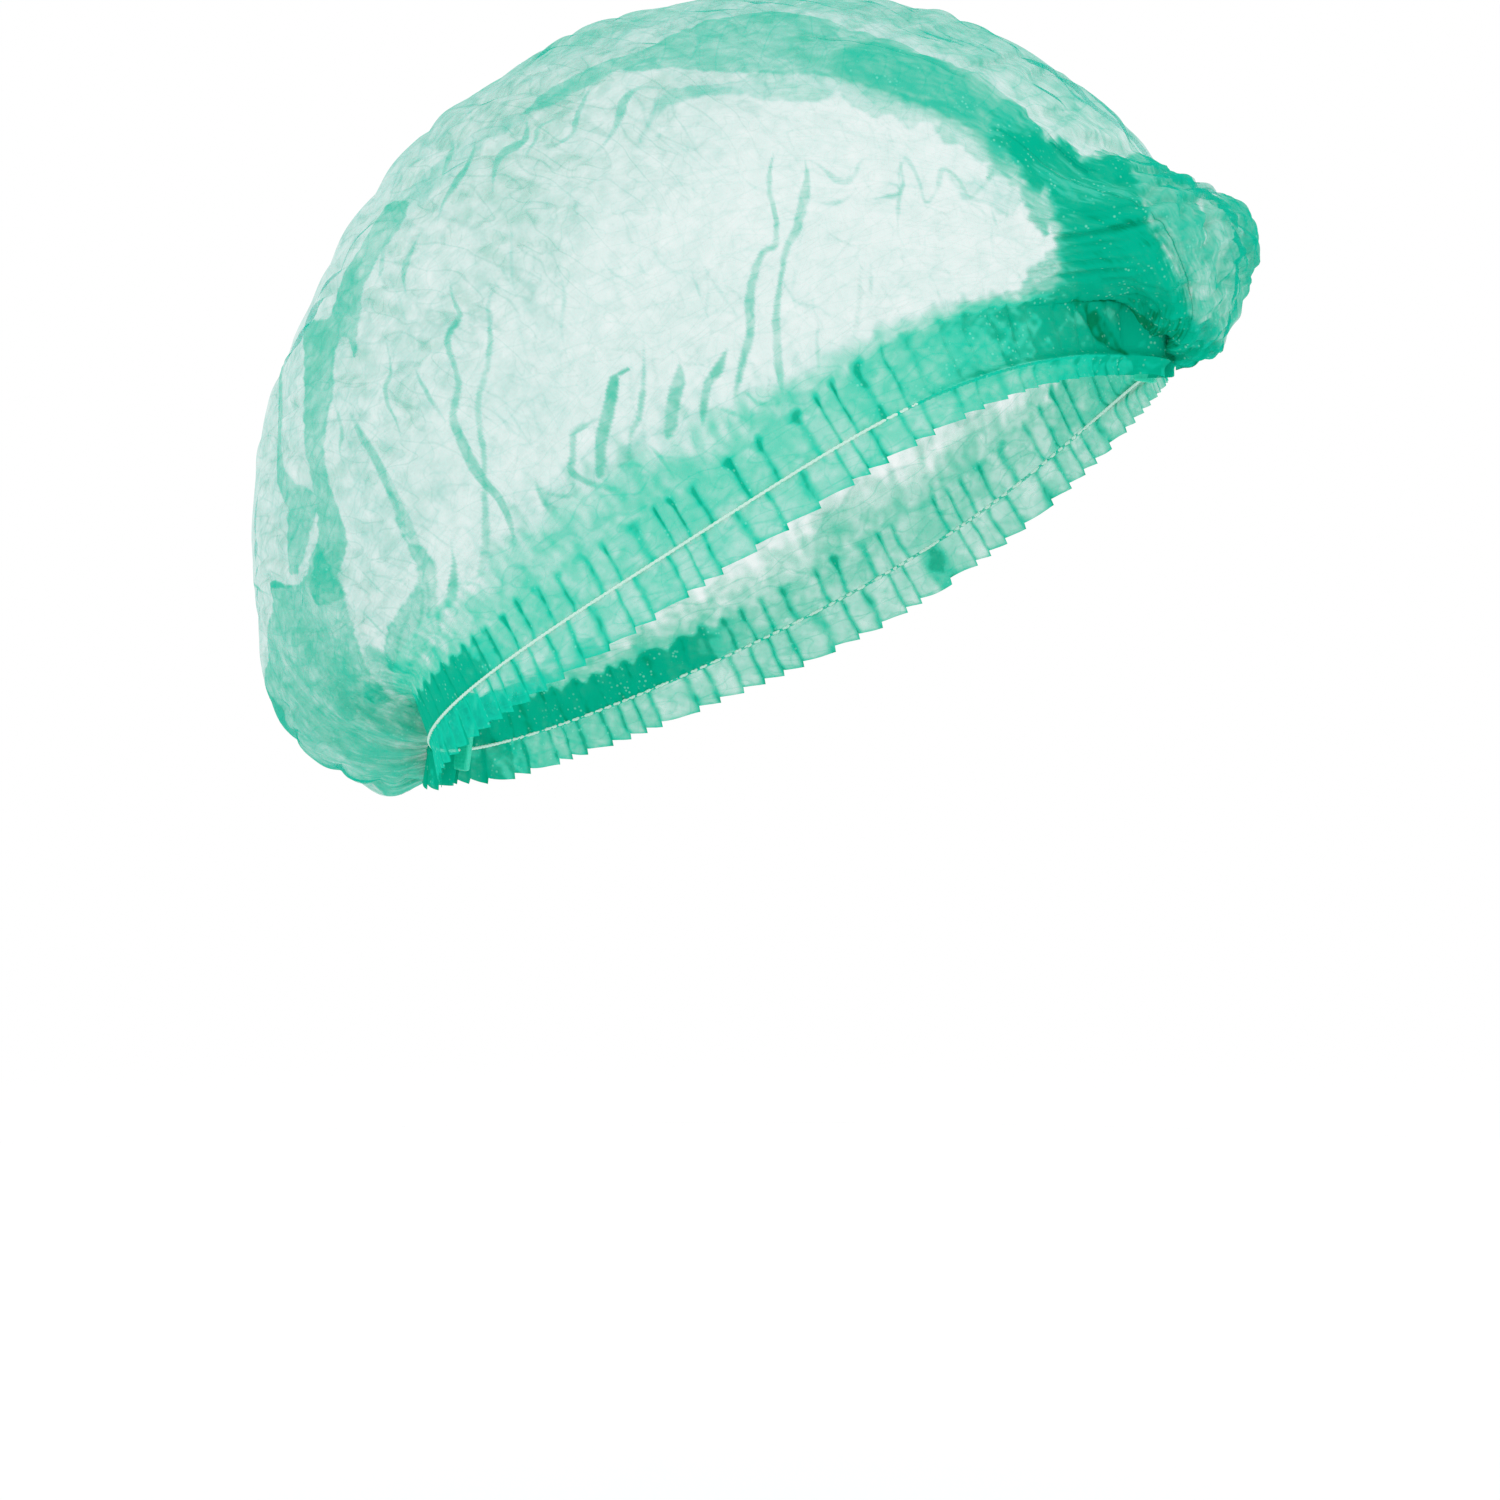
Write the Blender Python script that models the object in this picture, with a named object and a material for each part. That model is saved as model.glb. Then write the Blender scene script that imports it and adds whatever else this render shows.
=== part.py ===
"""Bouffant cap of pleated non-woven, opened as it is worn.

The face is towards -Y, the wearer's right is -X and up is +Z. The origin is the
middle of the hem loop, where the head sits. Lengths below are in millimetres and
are turned to metres when a mesh is made.
"""
import math
from typing import NamedTuple

import bmesh
import bpy
from mathutils import Vector

METRES = 0.001

# Hem loop, the path of both elastics around the head
LOOP_FRONT_Y = -94.4
LOOP_REAR_Y = 80.2
LOOP_HALF_WIDTH = 76.0
LOOP_FRONT_Z = 45.2
LOOP_REAR_Z = -46.8
TEMPLE_RISE = 7.0
TEMPLE_ANGLE = 0.79
TEMPLE_SPREAD = 0.57
LOOP_TANGENT_STEP = 0.002
WELD_LEAN = Vector((0.0, -0.14, 0.99))

# Hem bands, doubled cloth gathered on the elastic
HEM_ABOVE = 12.0
HEM_BELOW = 9.0
HEM_BELOW_AT_WELD = 4.0
HEM_THICKNESS = 1.4
HEM_STAND = 1.5
HEM_GATHERS = 27
HEM_STEPS_A_GATHER = 3
HEM_GATHER_DEPTH = 1.2
HEM_START_X = 1.9

# Elastic threads
ELASTIC_DIAMETER = 1.1
ELASTIC_POINTS = 42

# Fused ends of the pleats
WELD_THICKNESS = 2.4
WELD_DEPTH = 5.0
WELD_BELOW = 5.0
WELD_ABOVE = 14.0
WELD_SET_BACK = 1.5
WELD_EDGE = 0.5

# Crown sheet
CROWN_THICKNESS = 1.1
CROWN_START_X = 4.0
CROWN_STEPS = 38
CROWN_STEP_EASING = 0.55
CROWN_COLUMNS = 20
CROWN_PUFF = 23.0
CROWN_PUFF_SQUARENESS = 0.6
CROWN_LIFT = 3.0
CROWN_ROUNDNESS = 0.90
MIDLINE_SAMPLES = 240

# Pleats that run from weld to weld, and the bunch of them beside the midline
POLE_REACH = 0.10
POLE_PLEATS_A_SIDE = 5
POLE_PLEAT_DEPTH = 1.7
POLE_PLEAT_REACH = 1.6
PLEAT_CALM_AT_HEM = 0.12
PLEAT_CALM_AT_WELD = 0.5
BUNCH_DRIFT = 0.38
BUNCH_DEPTH = 2.0
BUNCH_WIDTH = 0.17
BUNCH_PITCH = 0.16

GAP = 0.3


class MidlineRow(NamedTuple):
    """A point of the crown's midline, from the front weld over to the rear one."""

    y: float
    z: float


MIDLINE = [
    MidlineRow(y=-101.0, z=43.5),
    MidlineRow(y=-109.0, z=45.5),
    MidlineRow(y=-115.0, z=53.0),
    MidlineRow(y=-117.0, z=65.0),
    MidlineRow(y=-115.5, z=76.5),
    MidlineRow(y=-107.0, z=84.5),
    MidlineRow(y=-93.0, z=91.0),
    MidlineRow(y=-80.0, z=103.0),
    MidlineRow(y=-62.0, z=117.0),
    MidlineRow(y=-38.0, z=126.5),
    MidlineRow(y=-8.0, z=130.0),
    MidlineRow(y=26.0, z=127.3),
    MidlineRow(y=56.0, z=115.5),
    MidlineRow(y=84.0, z=91.0),
    MidlineRow(y=105.0, z=61.0),
    MidlineRow(y=116.5, z=33.0),
    MidlineRow(y=123.5, z=4.0),
    MidlineRow(y=126.5, z=-22.0),
    MidlineRow(y=123.0, z=-42.0),
    MidlineRow(y=112.0, z=-53.0),
    MidlineRow(y=100.0, z=-57.0),
    MidlineRow(y=89.0, z=-55.0),
]


def smooth_point(rows, place):
    """Return the point at place 0..1 of a smooth curve through evenly spaced rows."""
    count = len(rows) - 1
    scaled = min(max(place, 0.0), 1.0) * count
    index = min(int(scaled), count - 1)
    t = scaled - index
    before = Vector(rows[max(index - 1, 0)])
    start = Vector(rows[index])
    end = Vector(rows[index + 1])
    after = Vector(rows[min(index + 2, count)])
    cubic = -before + 3.0 * start - 3.0 * end + after
    square = 2.0 * before - 5.0 * start + 4.0 * end - after
    return 0.5 * (2.0 * start + (end - before) * t + square * t * t + cubic * t * t * t)


def spaced_midline():
    """Return midline points with their share of the whole length."""
    points = [smooth_point(MIDLINE, i / MIDLINE_SAMPLES) for i in range(MIDLINE_SAMPLES + 1)]
    lengths = [0.0]
    for a, b in zip(points, points[1:]):
        lengths.append(lengths[-1] + (b - a).length)
    return [(length / lengths[-1], point) for length, point in zip(lengths, points)]


MIDLINE_SPACED = spaced_midline()


def midline(place):
    """Return the midline's y and z at a share of its length."""
    for (share_a, a), (share_b, b) in zip(MIDLINE_SPACED, MIDLINE_SPACED[1:]):
        if place <= share_b:
            return a.lerp(b, (place - share_a) / (share_b - share_a))
    return MIDLINE_SPACED[-1][1]


def pole_nearness(place):
    """Return 1 at either weld and nearly 0 away from them."""
    return math.exp(-place / POLE_REACH) + math.exp(-(1.0 - place) / POLE_REACH)


def loop_point(place, side):
    """Return the elastic's point at place 0 front to 1 rear, side -1 right or +1 left."""
    angle = math.pi * place
    middle = (LOOP_FRONT_Y + LOOP_REAR_Y) / 2.0
    half_length = (LOOP_REAR_Y - LOOP_FRONT_Y) / 2.0
    y = middle - half_length * math.cos(angle)
    slope = (LOOP_REAR_Z - LOOP_FRONT_Z) / (LOOP_REAR_Y - LOOP_FRONT_Y)
    rise = TEMPLE_RISE * math.exp(-(((angle - TEMPLE_ANGLE) / TEMPLE_SPREAD) ** 2))
    z = LOOP_FRONT_Z + slope * (y - LOOP_FRONT_Y) + rise
    return Vector((side * LOOP_HALF_WIDTH * math.sin(angle), y, z))


def loop_frame(place, side):
    """Return the directions out of the loop and up across the band."""
    ahead = loop_point(place + LOOP_TANGENT_STEP, side)
    along = ahead - loop_point(place - LOOP_TANGENT_STEP, side)
    along.normalize()
    tilt = math.atan2(LOOP_FRONT_Z - LOOP_REAR_Z, LOOP_REAR_Y - LOOP_FRONT_Y)
    up = Vector((0.0, math.sin(tilt), math.cos(tilt)))
    up = up.lerp(WELD_LEAN, min(pole_nearness(place), 1.0))
    up = (up - along * up.dot(along)).normalized()
    outward = along.cross(up) * side
    return outward.normalized(), up


def start_place(x):
    """Return the place along the loop where a half-width is reached."""
    return math.asin(x / LOOP_HALF_WIDTH) / math.pi


def crown_section(place, side, share):
    """Return a point of the smooth crown, share 0 at the hem to 1 on the midline."""
    outward, up = loop_frame(place, side)
    seat = HEM_STAND - HEM_THICKNESS / 2.0
    rim = loop_point(place, side) + up * (HEM_ABOVE + GAP * 2.0) + outward * seat
    mid_y, mid_z = midline(place)
    angle = share * math.pi / 2.0
    rise = math.sin(angle) ** CROWN_ROUNDNESS
    puff = CROWN_PUFF * math.sin(math.pi * place) ** CROWN_PUFF_SQUARENESS * math.sin(2.0 * angle)
    lift = CROWN_LIFT * min(pole_nearness(place), 1.0) * math.sin(2.0 * angle)
    point = Vector((rim.x * math.cos(angle) + side * puff, 0.0, 0.0))
    point.y = rim.y + (mid_y - rim.y) * rise + up.y * lift
    point.z = rim.z + (mid_z - rim.z) * rise + up.z * lift
    return point


def pleat_height(place, side, share):
    """Return how far the pleats stand off the smooth crown."""
    calm_at_weld = math.sin(math.pi * place) ** PLEAT_CALM_AT_WELD
    calm_at_hem = min(share / PLEAT_CALM_AT_HEM, 1.0)
    near_pole = min(pole_nearness(place) * POLE_PLEAT_REACH, 1.0)
    pleats = near_pole * math.cos(2.0 * math.pi * POLE_PLEATS_A_SIDE * share)
    across = side * (1.0 - share) + BUNCH_DRIFT * calm_at_weld
    bunch = math.exp(-((across / BUNCH_WIDTH) ** 2)) * (1.0 - near_pole)
    ribs = bunch * math.cos(2.0 * math.pi * across / BUNCH_PITCH)
    return (POLE_PLEAT_DEPTH * pleats + BUNCH_DEPTH * ribs) * calm_at_weld * calm_at_hem


def crown_grid():
    """Return the outer points of the crown, rows along the cap and columns across."""
    first = start_place(CROWN_START_X)
    across = [-1.0 + i / CROWN_COLUMNS for i in range(2 * CROWN_COLUMNS + 1)]
    rows = []
    for i in range(CROWN_STEPS + 1):
        even = i / CROWN_STEPS
        eased = 0.5 - 0.5 * math.cos(math.pi * even)
        place = first + (1.0 - 2.0 * first) * (even + (eased - even) * CROWN_STEP_EASING)
        row = []
        for t in across:
            side = -1.0 if t <= 0.0 else 1.0
            row.append((place, side, 1.0 - abs(t)))
        rows.append(row)
    return rows


def grid_normal(points, i, j):
    """Return the outward normal of a grid of points at row i and column j."""
    along = points[min(i + 1, len(points) - 1)][j] - points[max(i - 1, 0)][j]
    across = points[i][min(j + 1, len(points[i]) - 1)] - points[i][max(j - 1, 0)]
    return along.cross(across).normalized() * -1.0


def paint(name, colour, roughness):
    """Return a matte material of one colour."""
    material = bpy.data.materials.new(name)
    material.use_nodes = True
    shader = material.node_tree.nodes["Principled BSDF"]
    shader.inputs["Base Color"].default_value = (*colour, 1.0)
    shader.inputs["Roughness"].default_value = roughness
    shader.inputs["Metallic"].default_value = 0.0
    return material


def add_object(name, bm, material):
    """Make an object from a mesh in millimetres."""
    bmesh.ops.scale(bm, vec=(METRES, METRES, METRES), verts=bm.verts)
    bmesh.ops.recalc_face_normals(bm, faces=bm.faces)
    mesh = bpy.data.meshes.new(name)
    bm.to_mesh(mesh)
    bm.free()
    mesh.materials.append(material)
    mesh.shade_smooth()
    mesh.set_sharp_from_angle(angle=math.radians(40.0))
    thing = bpy.data.objects.new(name, mesh)
    bpy.context.scene.collection.objects.link(thing)
    return thing


def band_mesh(loops):
    """Return a closed mesh skinned over equal closed loops of points, with flat ends."""
    bm = bmesh.new()
    rings = [[bm.verts.new(point) for point in loop] for loop in loops]
    for a, b in zip(rings, rings[1:]):
        for k in range(len(a)):
            n = (k + 1) % len(a)
            bm.faces.new((a[k], a[n], b[n], b[k]))
    half = len(rings[0]) // 2
    for ring in (rings[0], rings[-1]):
        for k in range(half - 1):
            bm.faces.new((ring[k], ring[k + 1], ring[-2 - k], ring[-1 - k]))
    return bm


def build_crown(material):
    """Build the crown sheet, open below, with its pleats, fan and pouch."""
    grid = crown_grid()
    smooth = [[crown_section(*cell) for cell in row] for row in grid]
    loops = []
    for i, row in enumerate(grid):
        outer = []
        inner = []
        for j, (place, side, share) in enumerate(row):
            normal = grid_normal(smooth, i, j)
            point = smooth[i][j] + normal * pleat_height(place, side, share)
            outer.append(point)
            inner.append(point - normal * CROWN_THICKNESS)
        loops.append(outer + inner[::-1])
    return add_object("crown", band_mesh(loops), material)


def build_hem(name, side, material):
    """Build one gathered edge band, pinched flat along its elastic."""
    first = start_place(HEM_START_X)
    steps = HEM_GATHERS * HEM_STEPS_A_GATHER
    loops = []
    for i in range(steps + 1):
        place = first + (1.0 - 2.0 * first) * i / steps
        outward, up = loop_frame(place, side)
        centre = loop_point(place, side)
        calm = math.sin(math.pi * place) ** PLEAT_CALM_AT_WELD
        wave = HEM_GATHER_DEPTH * calm * math.cos(2.0 * math.pi * i / HEM_STEPS_A_GATHER)
        stand = HEM_STAND * calm
        below = HEM_BELOW + (HEM_BELOW_AT_WELD - HEM_BELOW) * min(pole_nearness(place), 1.0)
        outer = [
            centre + up * HEM_ABOVE + outward * (stand + wave),
            centre,
            centre - up * below + outward * (stand - wave),
        ]
        inner = [point - outward * HEM_THICKNESS for point in outer]
        loops.append(outer + inner[::-1])
    return add_object(name, band_mesh(loops), material)


def build_elastic(name, side, material):
    """Build one elastic thread along the outside of its hem."""
    first = start_place(HEM_START_X)
    radius = ELASTIC_DIAMETER / 2.0
    curve = bpy.data.curves.new(name, "CURVE")
    curve.dimensions = "3D"
    curve.bevel_depth = radius * METRES
    curve.bevel_resolution = 2
    curve.use_fill_caps = True
    spline = curve.splines.new("POLY")
    spline.points.add(ELASTIC_POINTS - 1)
    for i, knot in enumerate(spline.points):
        place = first + (1.0 - 2.0 * first) * i / (ELASTIC_POINTS - 1)
        outward, _ = loop_frame(place, side)
        point = loop_point(place, side) + outward * (radius + GAP * 1.3)
        knot.co = (*(point * METRES), 1.0)
    curve.materials.append(material)
    thing = bpy.data.objects.new(name, curve)
    bpy.context.scene.collection.objects.link(thing)
    return thing


def build_weld(name, place, material):
    """Build the fused end of the pleats, a small upright tab between the hem ends."""
    outward, up = loop_frame(place, -1.0)
    outward.x = 0.0
    up.x = 0.0
    outward.normalize()
    up.normalize()
    centre = loop_point(place, -1.0)
    centre.x = 0.0
    half = WELD_THICKNESS / 2.0
    bm = bmesh.new()
    corners = []
    for level in (-WELD_BELOW, WELD_ABOVE):
        for depth in (-WELD_SET_BACK, WELD_DEPTH - WELD_SET_BACK):
            base = centre + up * level + outward * depth
            corners.append((bm.verts.new(base - Vector((half, 0.0, 0.0))),
                            bm.verts.new(base + Vector((half, 0.0, 0.0)))))
    (a, b), (c, d), (e, f), (g, h) = corners
    for face in ((a, b, d, c), (e, f, h, g), (a, b, f, e), (c, d, h, g), (a, c, g, e), (b, d, h, f)):
        bm.faces.new(face)
    bmesh.ops.recalc_face_normals(bm, faces=bm.faces)
    bmesh.ops.bevel(bm, geom=bm.edges[:], offset=WELD_EDGE, segments=2, affect="EDGES", profile=0.5)
    return add_object(name, bm, material)


def main():
    """Clear the scene and build every piece."""
    for thing in list(bpy.data.objects):
        bpy.data.objects.remove(thing)
    cloth = paint("green_nonwoven", (0.27, 0.74, 0.62), 0.85)
    hem_cloth = paint("green_nonwoven_hem", (0.03, 0.55, 0.38), 0.85)
    thread = paint("pale_elastic_thread", (0.62, 0.86, 0.78), 0.7)
    fused = paint("fused_nonwoven", (0.0, 0.33, 0.21), 0.5)
    build_crown(cloth)
    build_hem("hem_right", -1.0, hem_cloth)
    build_hem("hem_left", 1.0, hem_cloth)
    build_elastic("elastic_right", -1.0, thread)
    build_elastic("elastic_left", 1.0, thread)
    build_weld("front_weld", 0.0, fused)
    build_weld("rear_weld", 1.0, fused)


main()
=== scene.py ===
"""Bouffant cap of pleated green spunbond, opened as it is worn.

The face is towards -Y, the wearer's right is -X and up is +Z. Lengths in this file are
in millimetres and are turned to metres when a mesh is made. One place on the cap is
given by its place, 0 at the front weld to 1 at the rear one, and by its course over the
cap, 0 at the right hem, 1 on the midline and 2 at the left hem.
"""

import logging
import math
from dataclasses import dataclass, field
from enum import Enum
from typing import Any, NamedTuple

import bpy
import numpy as np
from mathutils import Matrix, Vector


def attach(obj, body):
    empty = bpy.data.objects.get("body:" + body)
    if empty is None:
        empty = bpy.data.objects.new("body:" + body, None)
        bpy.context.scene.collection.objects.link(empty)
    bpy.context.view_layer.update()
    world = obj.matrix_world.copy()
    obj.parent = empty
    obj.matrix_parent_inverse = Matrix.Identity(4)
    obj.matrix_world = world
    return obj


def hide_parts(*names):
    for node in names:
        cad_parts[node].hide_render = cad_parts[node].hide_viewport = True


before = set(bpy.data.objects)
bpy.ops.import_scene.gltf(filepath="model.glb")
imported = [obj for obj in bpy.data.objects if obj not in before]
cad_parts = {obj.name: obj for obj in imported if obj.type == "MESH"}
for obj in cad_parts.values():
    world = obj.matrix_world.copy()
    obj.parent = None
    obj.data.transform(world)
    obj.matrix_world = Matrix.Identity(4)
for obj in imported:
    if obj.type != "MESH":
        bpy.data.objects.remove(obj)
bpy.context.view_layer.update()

METRES = 0.001
BODY = "root"
Array = np.ndarray
Socket = bpy.types.NodeSocket
Tree = bpy.types.NodeTree
Material = bpy.types.Material
Pair = tuple[float, float]
Route = tuple[Pair, ...]
log = logging.getLogger("bouffant_cap")


def unit(vectors: Array) -> Array:
    """Return the vectors at length 1."""
    lengths = np.linalg.norm(vectors, axis=-1, keepdims=True)
    return vectors / np.maximum(lengths, 1e-9)


def dot(a: Array, b: Array) -> Array:
    """Return the dot products of two arrays of vectors."""
    return np.sum(a * b, axis=-1)


def ramp(value: Array, start: float, end: float) -> Array:
    """Return 0 before start, 1 after end and a smooth rise between them."""
    t = np.clip((value - start) / (end - start), 0.0, 1.0)
    return t * t * (3.0 - 2.0 * t)


def smooth_route(rows: Array, count: int) -> Array:
    """Return evenly spaced points of a smooth curve through the rows.

    Args:
        rows: Points of any dimension, one a row.
        count: How many points the curve is returned as.

    Returns:
        An array of count rows.
    """
    rows = np.asarray(rows, dtype=float)
    last = len(rows) - 1
    scaled = np.linspace(0.0, last, count)
    index = np.minimum(scaled.astype(int), last - 1)
    t = (scaled - index)[:, None]
    before = rows[np.maximum(index - 1, 0)]
    start = rows[index]
    end = rows[index + 1]
    after = rows[np.minimum(index + 2, last)]
    cubic = -before + 3.0 * start - 3.0 * end + after
    square = 2.0 * before - 5.0 * start + 4.0 * end - after
    return 0.5 * (2.0 * start + (end - before) * t + square * t * t + cubic * t * t * t)


class Side(Enum):
    """The wearer's right or left half of the cap."""

    RIGHT = -1.0
    LEFT = 1.0


class Waves:
    """A smooth random height over the cloth, made of seeded plane waves."""

    def __init__(self, seed: int, along: float, across: float, count: int = 22) -> None:
        """Draw the waves.

        Args:
            seed: Seed of the draw.
            along: Usual wave length from weld to weld, in millimetres.
            across: Usual wave length from hem to hem, in millimetres.
            count: How many waves are added up.
        """
        rng = np.random.default_rng(seed)
        self.turns_along = rng.normal(0.0, 2.0 * math.pi / along, count)
        self.turns_across = rng.normal(0.0, 2.0 * math.pi / across, count)
        self.phases = rng.uniform(0.0, 2.0 * math.pi, count)

    def __call__(self, along: Array, across: Array) -> Array:
        """Add the waves up.

        Args:
            along: Millimetres of cloth from weld to weld.
            across: Millimetres of cloth from hem to hem.

        Returns:
            The height there, of unit spread.
        """
        total = np.zeros(np.broadcast(along, across).shape)
        for kx, ky, phase in zip(self.turns_along, self.turns_across, self.phases):
            total += np.cos(along * kx + across * ky + phase)
        return total * math.sqrt(2.0 / len(self.phases))


@dataclass(frozen=True)
class HeadLoop:
    """The line that both elastics follow round the opening, as in the CAD model.

    Lengths are in millimetres and angles in radians from the front. The weld reach is a share
    of the way from the front to the rear.
    """

    front_y: float = -94.4
    rear_y: float = 80.2
    half_width: float = 76.0
    front_z: float = 45.2
    rear_z: float = -46.8
    temple_rise: float = 7.0
    temple_angle: float = 0.79
    temple_spread: float = 0.57
    weld_reach: float = 0.10
    weld_lean: tuple[float, float, float] = (0.0, -0.14, 0.99)
    tangent_step: float = 0.002

    def points(self, place: Array, side: Array) -> Array:
        """Lay places out along the elastic.

        Args:
            place: Places from 0 at the front to 1 at the rear.
            side: -1 for the wearer's right and 1 for the left.

        Returns:
            The elastic's points there.
        """
        angle = np.pi * place
        middle = (self.front_y + self.rear_y) / 2.0
        half_length = (self.rear_y - self.front_y) / 2.0
        y = middle - half_length * np.cos(angle)
        slope = (self.rear_z - self.front_z) / (self.rear_y - self.front_y)
        rise = self.temple_rise * np.exp(-(((angle - self.temple_angle) / self.temple_spread) ** 2))
        z = self.front_z + slope * (y - self.front_y) + rise
        return np.stack([side * self.half_width * np.sin(angle), y, z], axis=-1)

    def weld_nearness(self, place: Array) -> Array:
        """Return 1 at either weld and nearly 0 away from them."""
        return np.exp(-place / self.weld_reach) + np.exp(-(1.0 - place) / self.weld_reach)

    def directions(self, place: Array, side: Array) -> tuple[Array, Array, Array]:
        """Work out which way the band lies along the elastic.

        Args:
            place: Places from 0 at the front to 1 at the rear.
            side: -1 for the wearer's right and 1 for the left.

        Returns:
            The unit directions along the loop, up across the band and outwards.
        """
        ahead = self.points(place + self.tangent_step, side)
        along = unit(ahead - self.points(place - self.tangent_step, side))
        tilt = math.atan2(self.front_z - self.rear_z, self.rear_y - self.front_y)
        level = np.array([0.0, math.sin(tilt), math.cos(tilt)])
        near = np.minimum(self.weld_nearness(place), 1.0)[..., None]
        up = level + (np.array(self.weld_lean) - level) * near
        up = unit(up - along * dot(along, up)[..., None])
        outward = unit(np.cross(along, up) * np.asarray(side)[..., None])
        return along, up, outward

    def start(self, half_gap: float) -> float:
        """Return the place where the loop is this far from the midline."""
        return math.asin(half_gap / self.half_width) / math.pi


# The crown's midline, from the front weld over to the rear one, as y and z
MIDLINE = (
    (-101.0, 43.5), (-109.0, 45.5), (-115.0, 53.0), (-117.0, 65.0), (-115.5, 76.5),
    (-107.0, 84.5), (-93.0, 91.0), (-80.0, 103.0), (-62.0, 117.0), (-38.0, 126.5),
    (-8.0, 130.0), (26.0, 127.3), (56.0, 115.5), (84.0, 91.0), (105.0, 61.0), (116.5, 33.0),
    (123.5, 4.0), (126.5, -22.0), (123.0, -42.0), (112.0, -53.0), (100.0, -57.0), (89.0, -55.0),
)


@dataclass(frozen=True)
class CrownForm:
    """The smooth puffed shape of the crown, before its folds."""

    loop: HeadLoop = field(default_factory=HeadLoop)
    rim_above: float = 12.6
    rim_stand: float = 0.8
    puff: float = 23.0
    puff_squareness: float = 0.6
    lift: float = 3.0
    roundness: float = 0.90
    midline_samples: int = 241

    def midline(self, place: Array) -> tuple[Array, Array]:
        """Measure the midline.

        Args:
            place: Shares of its length.

        Returns:
            Its y and its z there.
        """
        curve = smooth_route(np.array(MIDLINE), self.midline_samples)
        steps = np.linalg.norm(np.diff(curve, axis=0), axis=1)
        share = np.concatenate([[0.0], np.cumsum(steps)]) / np.sum(steps)
        return np.interp(place, share, curve[:, 0]), np.interp(place, share, curve[:, 1])

    def points(self, place: Array, across: Array) -> Array:
        """Lay out the smooth crown.

        Args:
            place: Places from 0 at the front to 1 at the rear.
            across: -1 at the right rim, 0 on the midline and 1 at the left rim.

        Returns:
            The crown's points there.
        """
        side = np.where(across <= 0.0, -1.0, 1.0)
        _, up, outward = self.loop.directions(place, side)
        rim = self.loop.points(place, side) + up * self.rim_above + outward * self.rim_stand
        mid_y, mid_z = self.midline(place)
        angle = (1.0 - np.abs(across)) * math.pi / 2.0
        rise = np.sin(angle) ** self.roundness
        bulge = np.sin(2.0 * angle)
        puff = self.puff * np.sin(np.pi * place) ** self.puff_squareness * bulge
        lift = self.lift * np.minimum(self.loop.weld_nearness(place), 1.0) * bulge
        x = rim[..., 0] * np.cos(angle) + side * puff
        y = rim[..., 1] + (mid_y - rim[..., 1]) * rise + up[..., 1] * lift
        z = rim[..., 2] + (mid_z - rim[..., 2]) * rise + up[..., 2] * lift
        return np.stack([x, y, z], axis=-1)


class Fold(NamedTuple):
    """A fold pressed into the sheet, along a route of places and courses.

    Half widths are in millimetres, spread evenly over the route. Plies is the cloth laid
    double inside the fold, and its edges wander by the ruffle.
    """

    route: Route
    halves: tuple[float, ...] = (0.45,)
    plies: float = 1.6
    ruffle: float = 0.12
    lift: float = 0.12
    point: float = 0.45
    soft: float = 0.5


class Overlap(NamedTuple):
    """A stretch where the sheet lies in several plies, inside an outline.

    Its route is the outline, as places and courses. Soft is the millimetres over which the
    plies fade in at its edge, and rim the extra ply where the cloth turns over there.
    """

    route: Route
    plies: float
    soft: float = 0.9
    rim: float = 0.0
    ruffle: float = 0.3
    lift: float = 0.3


def in_wholes(*shapes: Fold | Overlap) -> tuple[Fold | Overlap, ...]:
    """Return shapes whose places and courses were given in thousandths with them in wholes."""
    return tuple(shape._replace(route=tuple((a / 1000.0, b / 1000.0) for a, b in shape.route))
                 for shape in shapes)


# The band of pleats left closed beside the midline, and the ribbon that leaves it
BAND = in_wholes(
    Overlap(((467, 550), (447, 550), (431, 560), (417, 570), (411, 590), (397, 560), (379, 560),
        (339, 550), (310, 540), (283, 540), (254, 530), (225, 520), (193, 510), (175, 610), (192, 700),
        (222, 720), (244, 710), (283, 730), (339, 740), (375, 700), (400, 650), (424, 620), (455, 580)),
        plies=7.0, soft=0.8, rim=0.6),
    Overlap(((322, 660), (266, 700), (217, 680), (175, 610), (186, 470), (222, 520), (284, 560),
        (311, 570)), plies=4.5, soft=6.0),
    Overlap(((280, 680), (205, 680), (172, 650), (181, 470), (212, 500), (242, 520), (290, 550)),
        plies=8.0, soft=6.0),
    Overlap(((396, 410), (386, 470), (379, 500), (366, 510), (341, 525), (335, 550), (310, 550),
        (277, 540), (243, 540), (217, 550), (192, 520), (191, 460), (198, 430), (206, 430), (213, 450),
        (223, 440), (232, 480), (239, 480), (243, 450), (250, 460), (257, 480), (264, 460), (273, 470),
        (280, 480), (287, 510), (293, 480), (300, 470), (324, 470), (341, 490), (370, 480), (386, 450)),
        plies=4.2, rim=0.7),
    Overlap(((195, 380), (179, 400), (171, 380), (174, 320), (178, 290), (185, 290), (195, 310),
        (206, 290), (213, 310), (220, 360), (210, 340), (202, 350)), plies=1.8, rim=1.2),
    Overlap(((230, 660), (208, 680), (181, 630), (168, 760), (169, 910), (161, 900), (195, 1080),
        (237, 1000), (288, 1020), (294, 910), (277, 780), (246, 720)), plies=1.6, soft=4.0),
    Overlap(((560, 700), (480, 720), (400, 740), (300, 800), (200, 780), (165, 850), (165, 1120),
        (240, 1160), (360, 1140), (480, 1120), (560, 1080)), plies=1.5, soft=8.0, lift=0.0),
)

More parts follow.
